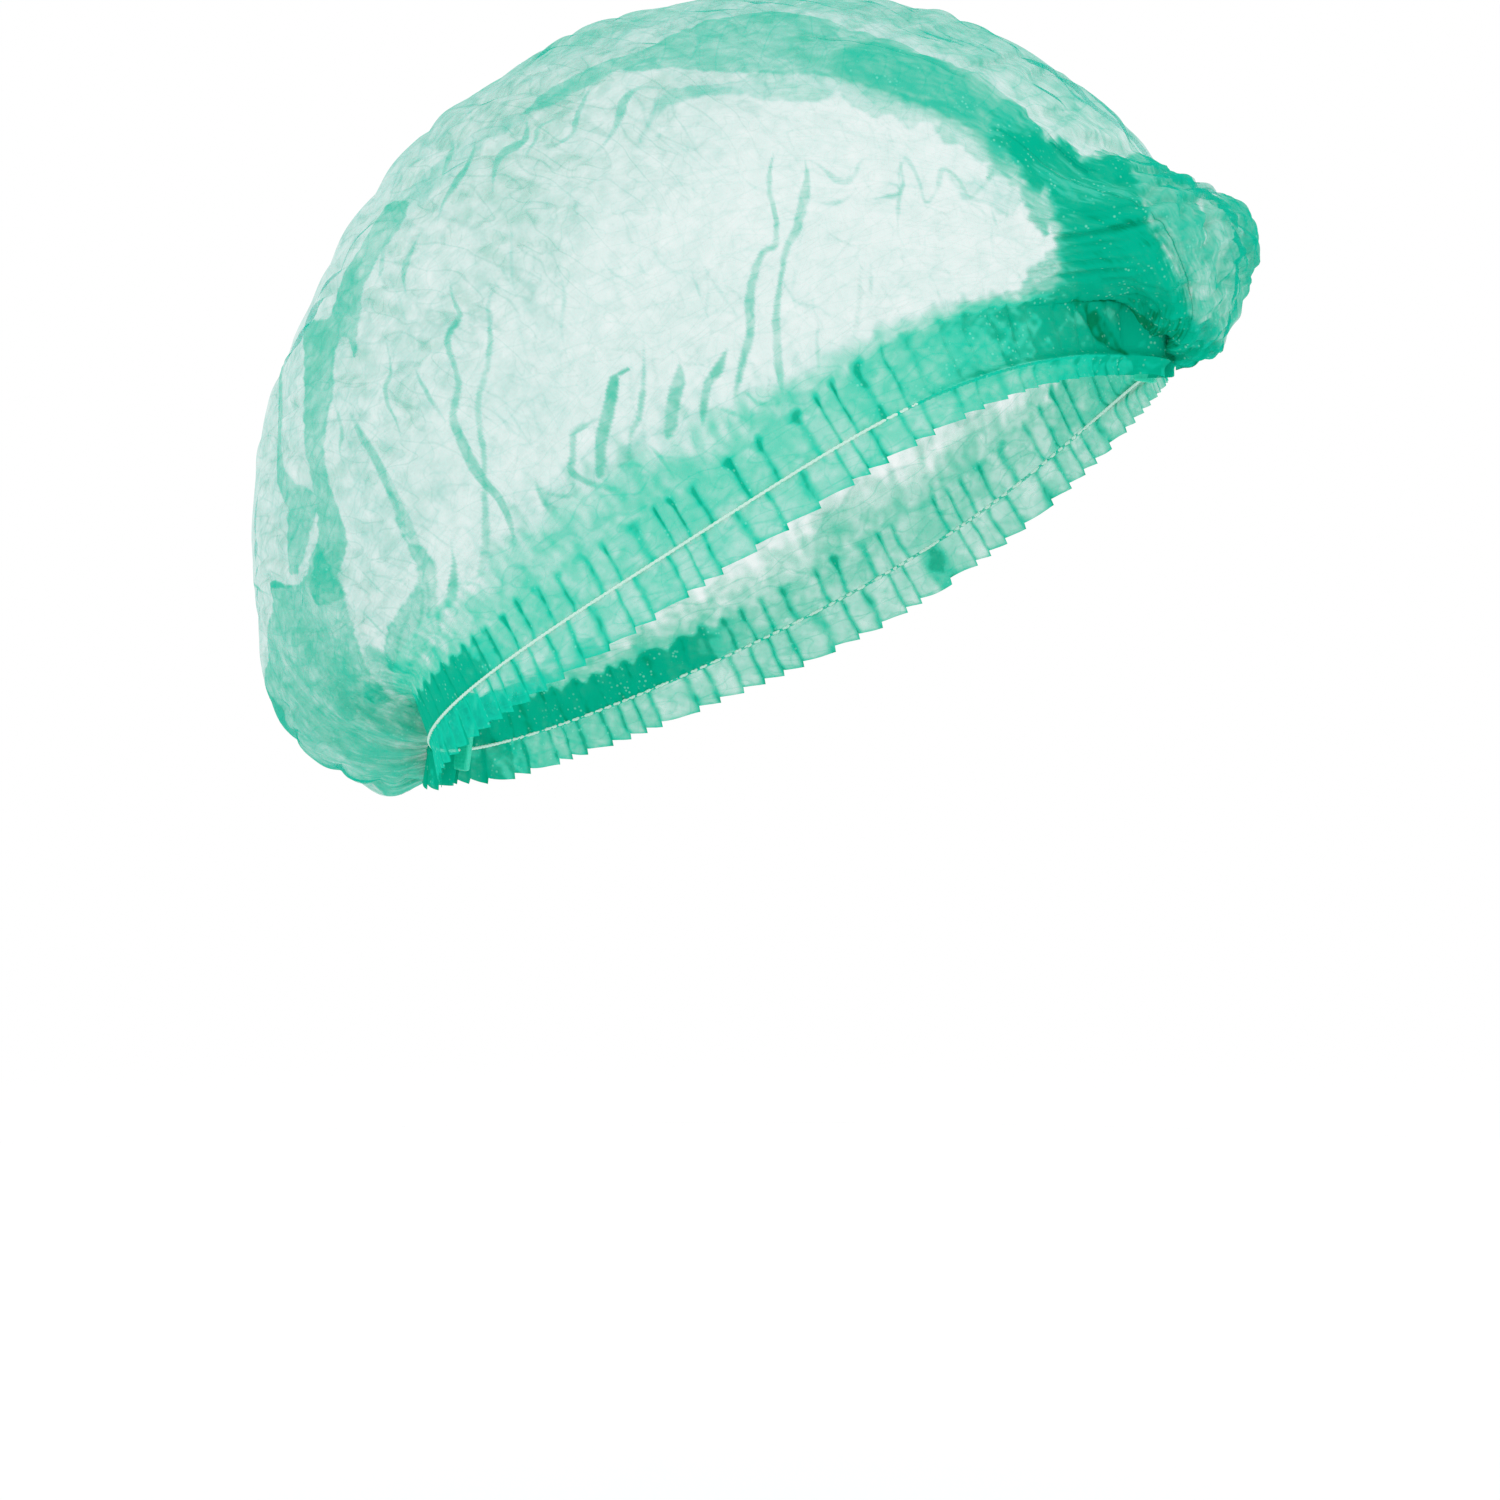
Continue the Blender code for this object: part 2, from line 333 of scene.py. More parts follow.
# The mass of pleats over the forehead, and the fan that stands out in front of it
FRONT_MASS = in_wholes(
    Overlap(((196, 380), (186, 410), (179, 400), (171, 380), (162, 330), (155, 280), (148, 270),
        (147, 310), (141, 260), (142, 210), (151, 150), (157, 120), (165, 0), (150, -50), (0, -50),
        (0, 600), (18, 580), (47, 540), (74, 480), (96, 500), (115, 620), (142, 830), (159, 880),
        (158, 720), (172, 740), (178, 640), (192, 700), (208, 680), (203, 530), (196, 450)),
        plies=9.0, soft=1.6, ruffle=0.6),
    Overlap(((198, 560), (185, 500), (171, 430), (159, 460), (147, 380), (138, 260), (130, 100),
        (120, -50), (0, -50), (0, 600), (25, 530), (53, 460), (79, 430), (101, 500), (125, 680),
        (147, 840), (152, 760), (157, 690), (168, 720), (179, 630)), plies=30.0, soft=3.0, ruffle=0.8),
    Overlap(((134, 320), (125, 500), (101, 500), (76, 440), (52, 470), (23, 580), (0, 600), (0, 100),
        (90, 0), (110, 50)), plies=22.0, soft=7.0),
    Overlap(((152, 910), (161, 1090), (150, 1200), (125, 1030), (106, 860), (90, 770), (76, 730),
        (62, 630), (47, 510), (73, 510), (93, 500), (115, 620)), plies=15.0, soft=1.4),
    Overlap(((108, 900), (116, 1300), (97, 1420), (79, 1400), (50, 1300), (30, 1150), (20, 950), (21, 800),
        (35, 550), (62, 630), (77, 740), (91, 780)), plies=9.5, rim=0.5),
    Overlap(((0, 0), (34, 100), (34, 450), (28, 750), (16, 950), (22, 1200), (30, 1600), (30, 2000),
        (0, 2200)), plies=22.0, soft=3.0, ruffle=0.8),
    Overlap(((12, 600), (28, 940), (22, 1000), (0, 1000), (0, 700)), plies=10.0, soft=2.0),
)

# Pleats that run down the back, and how they lie across each other in the nape pouch
REAR_STRANDS = in_wholes(
    Overlap(((556, 490), (573, 470), (589, 450), (598, 420), (611, 400), (620, 380), (617, 420),
        (624, 430), (637, 420), (649, 380), (664, 350), (682, 300), (700, 230), (716, 200), (734, 200),
        (750, 190), (760, 170), (781, 230), (749, 250), (729, 270), (712, 290), (695, 340), (679, 400),
        (665, 440), (649, 500), (644, 530), (632, 500), (621, 480), (603, 510), (583, 530), (563, 560),
        (546, 520)), plies=8.5, soft=0.5, rim=0.8),
    Overlap(((563, 560), (528, 555), (494, 560), (465, 550), (471, 530), (485, 520), (515, 490),
        (546, 500)), plies=2.5, soft=1.5),
    Overlap(((689, 640), (683, 530), (690, 480), (700, 460), (707, 420), (713, 400), (712, 350),
        (707, 320), (710, 290), (724, 290), (760, 280), (775, 310), (757, 330), (741, 350), (733, 360),
        (730, 400), (724, 440), (715, 480), (702, 500), (693, 540)), plies=6.0, soft=0.6, rim=0.6),
    Overlap(((814, 390), (800, 390), (781, 290), (760, 260), (736, 260), (750, 190), (760, 170),
        (780, 140), (808, 110), (835, 90), (868, 70), (905, 70), (930, -50), (1000, -50), (1000, 950),
        (930, 800), (893, 680), (870, 560), (841, 460)), plies=7.8, soft=0.6, rim=0.6),
    Overlap(((808, 150), (905, 80), (930, -50), (1000, -50), (1000, 900), (968, 680), (947, 460),
        (900, 260)), plies=6.0, soft=8.0),
    Overlap(((790, 50), (800, 100), (840, 85), (880, 75), (930, 70), (960, -50), (800, -50)),
        plies=7.5, soft=3.0, lift=0.0),
    Overlap(((855, 100), (868, 70), (905, 80), (910, 130), (892, 140)), plies=12.0, soft=1.2),
    Overlap(((829, 150), (850, 100), (900, 100), (923, 190), (907, 210), (869, 160)), plies=4.0, soft=3.0),
)

# Narrow leaves of doubled cloth that stand up from the right hem
LEAVES = in_wholes(
    Overlap(((655, 150), (661, 120), (655, 100), (658, 70), (675, 50), (688, 30), (707, 10), (720, 20),
        (733, 10), (764, 10), (801, 10), (815, 40), (788, 60), (758, 70), (729, 70), (705, 70), (688, 70),
        (675, 80), (666, 100)), plies=6.5, soft=0.7, rim=3.5),
    Overlap(((454, 120), (461, 100), (472, 80), (485, 60), (495, 40), (501, 40), (496, 55), (484, 80),
        (471, 100), (461, 120)), plies=13.0, soft=0.6, ruffle=0.1),
    Overlap(((414, 100), (416, 80), (426, 60), (436, 40), (445, 35), (437, 60), (427, 80)),
        plies=10.0, soft=0.6, ruffle=0.1),
    Overlap(((382, 90), (390, 70), (402, 60), (411, 40), (418, 30), (413, 50), (403, 70)),
        plies=10.0, soft=0.6, ruffle=0.1),
)

# Creases of the right side, from the band down to the hem and from front to rear
CREASES = in_wholes(
    # The first fold is the pocket beside the front weld: a real dent, with painted shade laid in as plies
    # enough to reach the darkest tone.
    Fold(((110, 60), (90, -260), (66, -660), (48, -980), (32, -1200)),
        halves=(0.8, 2.0, 3.0, 2.2, 0.8), plies=24.0, soft=1.6, lift=-1.2),
    Fold(((423, 410), (416, 420), (407, 450), (402, 490), (394, 510), (379, 505)),
        halves=(0.6, 1.2, 0.9), plies=2.4),
    Fold(((424, 570), (426, 540), (431, 490), (433, 460), (443, 450), (453, 450)),
        halves=(1.3, 0.8, 0.6), plies=1.8),
    Fold(((433, 510), (455, 510), (457, 480), (462, 460), (468, 440)), halves=(0.5, 0.8), plies=1.4),
    Fold(((464, 550), (464, 490), (477, 480), (482, 460), (487, 410)), halves=(0.6, 1.6, 0.8), plies=2.2),
    Fold(((494, 540), (498, 500), (508, 470), (518, 450), (526, 420)), halves=(0.8, 1.3, 0.8), plies=2.4),
    Fold(((515, 590), (512, 560), (516, 520), (521, 490)), halves=(0.8, 1.2)),
    Fold(((563, 500), (569, 470), (574, 440), (584, 430)), halves=(0.8,)),
    Fold(((536, 440), (547, 420), (556, 400), (560, 360)), halves=(0.5, 1.3, 0.7)),
    Fold(((529, 340), (533, 310), (533, 290), (543, 280), (549, 270), (552, 230), (556, 210), (567, 190),
        (570, 170), (573, 140), (576, 110), (574, 80), (579, 50), (587, 30)),
        halves=(0.3, 0.7, 0.6, 0.9, 1.5, 1.0, 0.6), plies=2.2, point=0.1),
    Fold(((574, 290), (576, 250), (574, 200), (573, 180)), halves=(0.3, 0.7)),
    Fold(((587, 350), (594, 300), (603, 290), (608, 270), (608, 240), (613, 210), (621, 200)),
        halves=(0.4, 0.8, 0.5, 0.4)),
    Fold(((651, 370), (652, 310), (661, 290), (664, 260)), halves=(0.8, 0.5)),
    Fold(((641, 330), (638, 280), (640, 230), (644, 200), (649, 160), (656, 140)),
        halves=(0.5, 1.3, 1.3, 1.6), plies=1.5),
    Fold(((496, 300), (512, 280), (521, 240), (533, 210), (549, 180), (563, 130), (584, 90), (608, 50),
        (631, 30), (644, 40)), halves=(0.3, 0.6, 0.7, 0.5, 1.0, 0.5), plies=1.5, point=0.1),
    Fold(((623, 90), (635, 70), (647, 50), (669, 30), (688, 30), (706, 10)),
        halves=(0.3, 1.0, 1.5, 0.8), plies=2.4),
    Fold(((668, 50), (642, 30), (628, 10)), plies=1.2),
    Fold(((668, 100), (690, 55), (720, 35), (760, 20)), plies=1.6),
    Fold(((664, 85), (680, 55), (700, 35), (725, 30)), plies=1.4),
    Fold(((690, 65), (720, 55), (760, 45), (800, 30)), plies=1.5),
    Fold(((641, 330), (640, 230), (648, 160), (656, 110), (664, 80)),
        halves=(0.5, 1.2, 1.6, 1.4), plies=1.3, point=0.2),
    Fold(((460, 280), (465, 230), (475, 200), (482, 160)), plies=0.9),
    Fold(((479, 370), (485, 320), (491, 280), (494, 250)), plies=0.8),
    Fold(((478, 90), (488, 90), (501, 90), (509, 70), (516, 60), (509, 40), (492, 20), (485, 20)),
        halves=(0.4, 0.8, 0.5), plies=1.8, point=0.1),
    Fold(((516, 50), (516, 40), (528, 40), (545, 60)), plies=1.8),
    Fold(((540, 80), (545, 60), (547, 40), (555, 40)), halves=(0.4, 0.8)),
    Fold(((321, 360), (327, 300), (327, 240), (331, 200), (341, 190), (356, 140), (363, 100), (375, 70),
        (389, 40), (393, 30)), halves=(0.5, 0.5, 0.6, 1.0, 0.8, 0.5), plies=2.0, point=0.1),
    Fold(((304, 340), (305, 290), (315, 220), (325, 190), (336, 140), (343, 110), (352, 60), (360, 10)),
        halves=(0.4, 1.1, 0.8, 0.4, 0.8, 0.9, 0.6), plies=1.8, point=0.1),
    Fold(((318, 80), (325, 50), (331, 10)), plies=1.0),
    Fold(((428, 150), (430, 140), (441, 100), (454, 70), (464, 60), (474, 40), (479, 40)),
        halves=(0.4, 0.5, 0.7, 0.6), plies=2.2),
    Fold(((461, 50), (455, 30), (453, 10), (450, -20)), plies=1.8),
    Fold(((393, 30), (385, 40), (380, 30), (377, 20), (365, 10), (359, 10)), plies=2.0),
    Fold(((407, 40), (399, 30), (387, 10)), plies=1.6),
    Fold(((499, 50), (487, 40), (471, 30), (464, 10)), plies=1.6),
    Fold(((249, 380), (247, 300), (250, 260), (254, 170)), plies=0.9),
    Fold(((304, 340), (295, 320), (285, 290), (277, 300), (271, 340), (264, 340)),
        halves=(0.7,), plies=1.0),
    Fold(((250, 290), (246, 360), (239, 330), (234, 260), (227, 290), (222, 360), (213, 340), (206, 300),
        (200, 330), (192, 390)), halves=(0.3, 0.5, 0.25, 0.6, 0.3, 0.7), plies=0.8, point=0.1),
    Fold(((305, 260), (293, 250), (281, 260), (273, 290)), plies=1.0),
    Fold(((261, 290), (251, 290), (250, 270), (261, 260), (273, 250)), plies=1.0),
    Fold(((814, 390), (800, 390), (788, 320), (781, 290)), halves=(0.8,), plies=4.0),
    Fold(((817, 600), (817, 490), (812, 400)), plies=1.6),
    Fold(((763, 140), (764, 100), (767, 60)), plies=1.1),
    Fold(((724, 190), (724, 130), (717, 70)), plies=0.9),
    Fold(((841, 470), (858, 360), (889, 290), (902, 200)), halves=(0.9,), plies=1.0, soft=1.0),
    Fold(((885, 590), (870, 360), (826, 230), (760, 170)), halves=(1.4,), plies=0.9, soft=1.0),
    Fold(((894, 680), (879, 310), (845, 160)), halves=(0.8, 1.3), plies=1.0, soft=1.0),
    Fold(((855, 520), (825, 290), (809, 180)), halves=(1.2,), plies=0.9, soft=1.0),
    Fold(((911, 620), (936, 490), (943, 370)), halves=(0.9,), plies=1.0, soft=1.0),
    Fold(((899, 410), (921, 360), (926, 300), (950, 450)), halves=(1.2,), plies=1.1, soft=1.0),
    Fold(((176, 740), (182, 840), (192, 950), (203, 1000)), halves=(1.0,), plies=0.8, soft=1.4),
    Fold(((123, 680), (117, 760), (121, 990)), halves=(0.8,), plies=1.1, soft=1.4),
    Fold(((103, 550), (94, 640), (93, 790)), halves=(0.8,), plies=1.1, soft=1.4),
    Fold(((79, 500), (73, 640), (72, 780), (72, 1010)), halves=(0.8,), plies=1.1, soft=1.4),
    Fold(((64, 580), (59, 720), (59, 1030)), halves=(0.9,), plies=1.4, soft=1.4),
    Fold(((53, 520), (45, 670), (42, 890)), halves=(0.9,), plies=1.4, soft=1.4),
    Fold(((93, 810), (98, 960), (106, 1200)), halves=(0.7,), plies=0.8, soft=1.4),
)


class EdgeRow(NamedTuple):
    """How the elastic draws the cloth in at one place along the hem.

    Top is how far above the elastic the doubled edge reaches, in millimetres. Haze is
    the extra plies just above it, gone after its reach. Upper and lower are the plies
    over and under the elastic, and below is how far the hem hangs under it.
    """

    place: float
    top: float
    reach: float
    haze: float
    upper: float
    lower: float
    below: float


EDGE = (
    EdgeRow(0.00, 14.0, 6.0, 30.0, 44.0, 26.0, 4.0),
    EdgeRow(0.10, 14.0, 6.0, 30.0, 44.0, 24.0, 4.5),
    EdgeRow(0.16, 15.0, 8.0, 22.0, 36.0, 18.0, 5.0),
    EdgeRow(0.20, 15.0, 7.0, 15.0, 30.0, 15.0, 5.8),
    EdgeRow(0.25, 15.0, 6.0, 9.0, 22.0, 13.0, 6.8),
    EdgeRow(0.30, 13.5, 7.0, 8.0, 16.0, 12.0, 7.8),
    EdgeRow(0.36, 10.5, 11.0, 12.0, 13.0, 11.5, 8.8),
    EdgeRow(0.42, 9.3, 15.0, 13.5, 12.5, 10.5, 9.6),
    EdgeRow(0.55, 9.3, 16.0, 13.5, 12.5, 10.0, 10.8),
    EdgeRow(0.64, 8.8, 13.0, 12.0, 12.5, 10.0, 10.2),
    EdgeRow(0.67, 8.5, 12.0, 12.0, 24.0, 10.0, 9.8),
    EdgeRow(0.70, 8.5, 12.0, 15.0, 54.0, 10.0, 9.4),
    EdgeRow(0.78, 8.5, 14.0, 18.0, 64.0, 12.0, 9.0),
    EdgeRow(0.86, 9.0, 15.0, 22.0, 66.0, 18.0, 8.5),
    EdgeRow(1.00, 11.0, 16.0, 26.0, 56.0, 44.0, 9.0),
)


@dataclass(frozen=True)
class Gathers:
    """The even little gathers that the elastic draws each hem into.

    Lengths are in millimetres and plies in layers of cloth. A pair gives the two values
    between which something fades in.
    """

    count: int = 46
    wander: float = 0.22
    winding: float = 0.03
    top_raggedness: float = 0.25
    top_scallop: float = 0.6
    top_fade: Pair = (-0.9, 0.7)
    even_places: Pair = (0.20, 0.33)
    depth: float = 0.6
    mean_flute: float = 0.65
    flute_fade: Pair = (0.2, 4.0)
    stitch_fade: Pair = (-0.2, 0.3)
    overlap: float = 0.3
    overlap_reach: float = 0.8
    crease: float = 0.75
    crease_plies: float = 19.0
    faintest_lower_lines: float = 0.4
    flap: float = 2.0
    flap_plies: float = 3.5
    cover: float = 0.6
    cover_reach: float = 1.2
    front_wrap: float = 0.98
    knot_height: float = 3.6
    knot_width: float = 1.7
    knot_plies: float = 15.0
    faintest_knot: float = 0.3
    edge_plies: float = 9.0
    edge_width: float = 0.55
    tongue: float = 1.6
    tongue_fade: Pair = (3.0, 8.0)
    front_cover: float = 6.0
    front_cover_places: Pair = (0.055, 0.014)
    rear_cover: float = 7.5
    rear_cover_places: Pair = (0.930, 0.986)
    haze_cloud: float = 0.10
    haze_patch: float = 0.08
    haze_limits: Pair = (0.55, 1.4)

    def phase(self, place: Array, seed: int) -> Array:
        """Return the count of gathers from the front, with small uneven steps."""
        uneven = Waves(seed, along=0.09, across=1.0)
        return self.count * place + self.wander * uneven(place, 0.0)


def nearest_on_path(path: Array, points: Array, normals: Array) -> tuple[Array, Array]:
    """Measure points of the sheet against a path that lies on it.

    Args:
        path: Points of the path, in millimetres.
        points: Points of the sheet.
        normals: The sheet's normals there.

    Returns:
        Each point's signed distance from the path, and how far along it lies from 0 to 1.
    """
    best = np.full(len(points), 1e9)
    signed = np.zeros(len(points))
    run = np.zeros(len(points))
    sizes = np.maximum(np.linalg.norm(np.diff(path, axis=0), axis=1), 1e-6)
    so_far = np.concatenate([[0.0], np.cumsum(sizes)]) / np.sum(sizes)
    for k, size in enumerate(sizes):
        step = path[k + 1] - path[k]
        heading = step / size
        t = np.clip((points - path[k]) @ heading / size, 0.0, 1.0)
        away = points - path[k] - t[:, None] * step
        away -= normals * dot(away, normals)[:, None]
        distance = np.linalg.norm(away, axis=1)
        closer = distance < best
        best[closer] = distance[closer]
        across = unit(np.cross(normals[closer], heading))
        signed[closer] = np.sign(dot(away[closer], across)) * distance[closer]
        run[closer] = so_far[k] + t[closer] * size / np.sum(sizes)
    return signed, run


# Points in each direction of both halves; the right one faces the camera
GRIDS = {Side.RIGHT: {"columns": 1001, "crown_rows": 301, "hem_rows": 41},
         Side.LEFT: {"columns": 651, "crown_rows": 171, "hem_rows": 31}}


class CrepeRun(NamedTuple):
    """One run of fine creases, along the lines where a random field changes sign.

    Along and across are the usual distances between them in millimetres, and a smaller
    sharpness makes them narrower. Height is in millimetres, and plies is the cloth in them.
    """

    seed: int
    along: float
    across: float
    sharpness: float
    height: float
    plies: float


CREPE = (
    CrepeRun(21, 10.0, 50.0, 0.09, 0.03, 0.55),
    CrepeRun(22, 16.0, 18.0, 0.06, 0.02, 0.50),
    CrepeRun(23, 26.0, 6.0, 0.08, 0.02, 0.32),
)


def inside_outline(outline: Array, place: Array, course: Array) -> Array:
    """Find what lies inside a closed outline.

    Args:
        outline: Places and courses of its points, the first one again at the end.
        place: Places of the points to test.
        course: Courses of the points to test.

    Returns:
        Whether each of them lies inside.
    """
    within = np.zeros(place.shape, dtype=bool)
    for (a, b), (c, d) in zip(outline[:-1], outline[1:]):
        if b != d:
            between = (b > course) != (d > course)
            within ^= between & (place < a + (c - a) * (course - b) / (d - b))
    return within


def edge_noise(distance: Array, pitch: float, seed: int) -> Array:
    """Make an edge uneven.

    Args:
        distance: Millimetres along the edge.
        pitch: Usual length of a wave.
        seed: Seed of the waves.

    Returns:
        An uneven wave, about -1 to 1.
    """
    rng = np.random.default_rng(seed)
    total = np.zeros_like(distance)
    for stretch, strength in ((1.0, 0.55), (0.62, 0.35), (1.7, 0.45), (0.35, 0.15)):
        turns = distance / (pitch * stretch * rng.uniform(0.85, 1.15))
        total += strength * np.sin(2.0 * np.pi * turns + rng.uniform(0.0, 2.0 * np.pi))
    return total


@dataclass
class HalfSheet:
    """One half of the sheet, from its hem's lower edge up to the midline.

    Rows run from the hem to the midline and columns from the front weld to the rear one.
    """

    side: Side
    form: CrownForm
    gathers: Gathers
    columns: int
    crown_rows: int
    hem_rows: int
    half_gap: float = 0.6
    length: float = 290.0
    girth: float = 165.0
    thickest: float = 1.25
    edge_on_share: float = 0.18
    mottle: float = 0.13
    fold_gain: float = 3.5
    route_step: float = 1.6
    outline_step: float = 1.8
    edge_pitch: float = 5.0
    crepe_reach: float = 6.0

    def __post_init__(self) -> None:
        """Lay out the smooth sheet and its directions."""
        first = self.form.loop.start(self.half_gap)
        place = np.linspace(first, 1.0 - first, self.columns)
        share = np.linspace(0.0, 1.0, self.crown_rows)
        self.place = np.broadcast_to(place, (self.hem_rows + self.crown_rows - 1, self.columns))
        across = self.side.value * (1.0 - share)
        crown = self.form.points(*np.broadcast_arrays(place[None, :], across[:, None]))
        below = self.edge_value("below", place)
        level = np.linspace(0.0, 1.0, self.hem_rows)[:, None]
        height = -below + level * (self.form.rim_above + below)
        hem = self._hem_points(place, height)
        self.base = np.concatenate([hem[:-1], crown])
        self.above_elastic = np.concatenate([
            height[:-1], self.form.rim_above + self.girth * share[:, None] + 0.0 * place])
        self.share = np.concatenate([height[:-1] / self.form.rim_above - 1.0,
                                     share[:, None] + 0.0 * place])
        self.along_cloth = self.place * self.length
        self.across_cloth = self.side.value * (self.girth + self.form.rim_above - self.above_elastic)
        self._lay_directions()
        self.offset = np.zeros_like(self.base)
        self.lift = np.zeros(self.place.shape)
        self.gathered = np.zeros(self.place.shape)

    def edge_value(self, name: str, place: Array) -> Array:
        """Return one column of the edge's table at these places."""
        return np.interp(place, [row.place for row in EDGE], [getattr(row, name) for row in EDGE])

    def _hem_points(self, place: Array, height: Array) -> Array:
        """Lay out the smooth hem, pinched in along the elastic.

        Args:
            place: Places along the hem.
            height: Millimetres above the elastic.

        Returns:
            The hem's points there.
        """
        side = np.full(place.shape, self.side.value)
        _, up, outward = self.form.loop.directions(place, side)
        stand = self.form.rim_stand * np.minimum(np.abs(height) / self.form.rim_above, 1.0)
        middle = self.form.loop.points(place, side)
        return middle + up * height[..., None] + outward * stand[..., None]

    def _lay_directions(self) -> None:
        """Work out the sheet's directions and how long its steps are from weld to weld."""
        across = np.gradient(self.base, axis=0)
        along = np.gradient(self.base, axis=1)
        self.step_along = np.linalg.norm(along, axis=-1)
        self.along = unit(along)
        self.normal = unit(np.cross(along, across) * self.side.value)
        self.up = unit(np.cross(self.normal, self.along) * self.side.value)

    def waves(self, seed: int, along: float, across: float) -> Array:
        """Return seeded waves of these usual lengths over the flat cloth."""
        return Waves(seed, along, across)(self.along_cloth, self.across_cloth)

    def gather_hem(self, seed: int) -> None:
        """Draw the hem into flutes, thicker at each crease and at the knots above it.

        Args:
            seed: Seed of the flutes' uneven steps.
        """
        sizes, height = self.gathers, self.above_elastic
        phase = sizes.phase(self.place, seed)
        pitch = self.step_along * (self.columns - 1) / sizes.count
        ragged = Waves(seed + 2, along=7.0, across=900.0)(self.along_cloth, 0.0)
        winding = Waves(seed + 7, along=12.0, across=9.0)(self.along_cloth, height)
        top = (self.edge_value("top", self.place) + sizes.top_raggedness * ragged
               + sizes.top_scallop * np.cos(2.0 * np.pi * phase))
        kept = ramp(top - height, *sizes.top_fade)
        even = ramp(self.place, *sizes.even_places)
        fainter = sizes.faintest_lower_lines
        for sign, shift, name, strength, lines in (
                (1.0, 0.0, "upper", kept, even),
                (-1.0, 0.5, "lower", 1.0, fainter + (1.0 - fainter) * even)):
            turn = phase + shift + sizes.winding * winding
            away = (turn - np.round(turn)) * pitch
            shown = ramp(sign * height, *sizes.stitch_fade) * strength
            flute = sizes.depth * (np.sqrt(np.abs(np.sin(np.pi * turn)) + 0.01) - sizes.mean_flute)
            self.lift += flute * ramp(sign * height, *sizes.flute_fade) * strength
            lean = -sizes.overlap * away * np.exp(-((away / sizes.overlap_reach) ** 2) / 2.0)
            self.offset += self.along * (lean * shown)[..., None]
            crease = np.exp(-((away / sizes.crease) ** 2))
            flap = ramp(away, -0.2, 0.2) * ramp(-away, -sizes.flap, 0.0)
            drawn = lines * (sizes.crease_plies * crease + sizes.flap_plies * flap)
            self.gathered += shown * (self.edge_value(name, self.place) - 1.0 + drawn)
            hidden = sizes.cover * crease * even + sizes.front_wrap * (1.0 - even)
            self.lift += hidden * np.exp(-((height / sizes.cover_reach) ** 2))
            if sign > 0.0:
                self._tie_knots(seed, top, away, even)
        self._cover_welds()
        turn = phase + 0.5
        saw = turn - np.floor(turn)
        edge = ramp(-height, *sizes.tongue_fade)
        self.offset += self.up * (edge * sizes.tongue * (saw - 0.5))[..., None]
        self._haze(seed, top, ragged, kept)
        bottom = np.exp(-(((height - height[0]) / sizes.edge_width) ** 2))
        self.gathered += sizes.edge_plies * bottom * even

    def _tie_knots(self, seed: int, top: Array, away: Array, even: Array) -> None:
        """Thicken the upper end of each crease, where its cloth bunches up.

        Args:
            seed: Seed of the gathers.
            top: How far above the elastic the doubled edge reaches.
            away: Millimetres from the nearest crease.
            even: How evenly the hem is gathered.
        """
        sizes, under = self.gathers, top - self.above_elastic
        rise = np.clip(1.0 - under / sizes.knot_height, 0.0, 1.0)
        knot = ramp(sizes.knot_width * rise - np.abs(away), -0.3, 0.5) * ramp(rise, 0.0, 0.4)
        draw = Waves(seed + 6, along=9.0, across=900.0)(self.along_cloth, 0.0)
        knot = knot * (sizes.faintest_knot + 0.9 * ramp(draw, 0.0, 1.2))
        self.gathered += even * sizes.knot_plies * knot * ramp(under, -1.6, -0.2)

    def _cover_welds(self) -> None:
        """Swell the hem out over both welds, and bring it back to them at its ends."""
        sizes = self.gathers
        covering = (sizes.front_cover * ramp(self.place, *sizes.front_cover_places)
                    + sizes.rear_cover * ramp(self.place, *sizes.rear_cover_places))
        at_weld = ramp(np.minimum(self.place, 1.0 - self.place), 0.002, 0.011)
        self.lift += covering * (0.1 + 0.9 * at_weld) * ramp(self.share, 0.55, 0.0)

    def _haze(self, seed: int, top: Array, ragged: Array, kept: Array) -> None:
        """Let the gathered cloth thin out above the doubled edge.

        Args:
            seed: Seed of the gathers.
            top: How far above the elastic the doubled edge reaches.
            ragged: The unevenness of the doubled edge.
            kept: Where the doubled edge lies.
        """
        sizes, height = self.gathers, self.above_elastic
        cloudy = Waves(seed + 3, along=10.0, across=8.0)(self.along_cloth, height)
        patchy = Waves(seed + 4, along=5.5, across=4.5)(self.along_cloth, height)
        reach = self.edge_value("reach", self.place) * (1.0 + 0.08 * ragged + sizes.haze_cloud * cloudy)
        haze = ramp(top + reach - height, 0.0, reach) * (1.0 - kept)
        uneven = np.clip(0.95 + sizes.haze_patch * patchy + sizes.haze_cloud * cloudy, *sizes.haze_limits)
        self.gathered += self.edge_value("haze", self.place) * (haze * uneven)

    def crepe(self, run: CrepeRun, where: Array) -> None:
        """Add one run of fine creases above the hem.

        Args:
            run: The creases.
            where: How strong they are over the sheet.
        """
        changing = self.waves(run.seed, run.along, run.across)
        line = np.exp(-((changing / run.sharpness) ** 2)) * where
        free = ramp(self.above_elastic, self.form.rim_above, self.form.rim_above + self.crepe_reach)
        self.lift += run.height * line * free
        self.gathered += run.plies * line * free

    def path(self, route: Array) -> Array:
        """Lay a route over the smooth cap.

        Args:
            route: Places and courses. Courses below 0 run down the hem, to -1 at the elastic.

        Returns:
            Its points.
        """
        place, across = np.clip(route[:, 0], 0.0, 1.0), route[:, 1] - 1.0
        crown = self.form.points(place, np.clip(across, -1.0, 1.0))
        height = self.form.rim_above * (2.0 - np.maximum(np.abs(across), 1.0))
        return np.where(np.abs(across)[:, None] > 1.0, self._hem_points(place, height), crown)

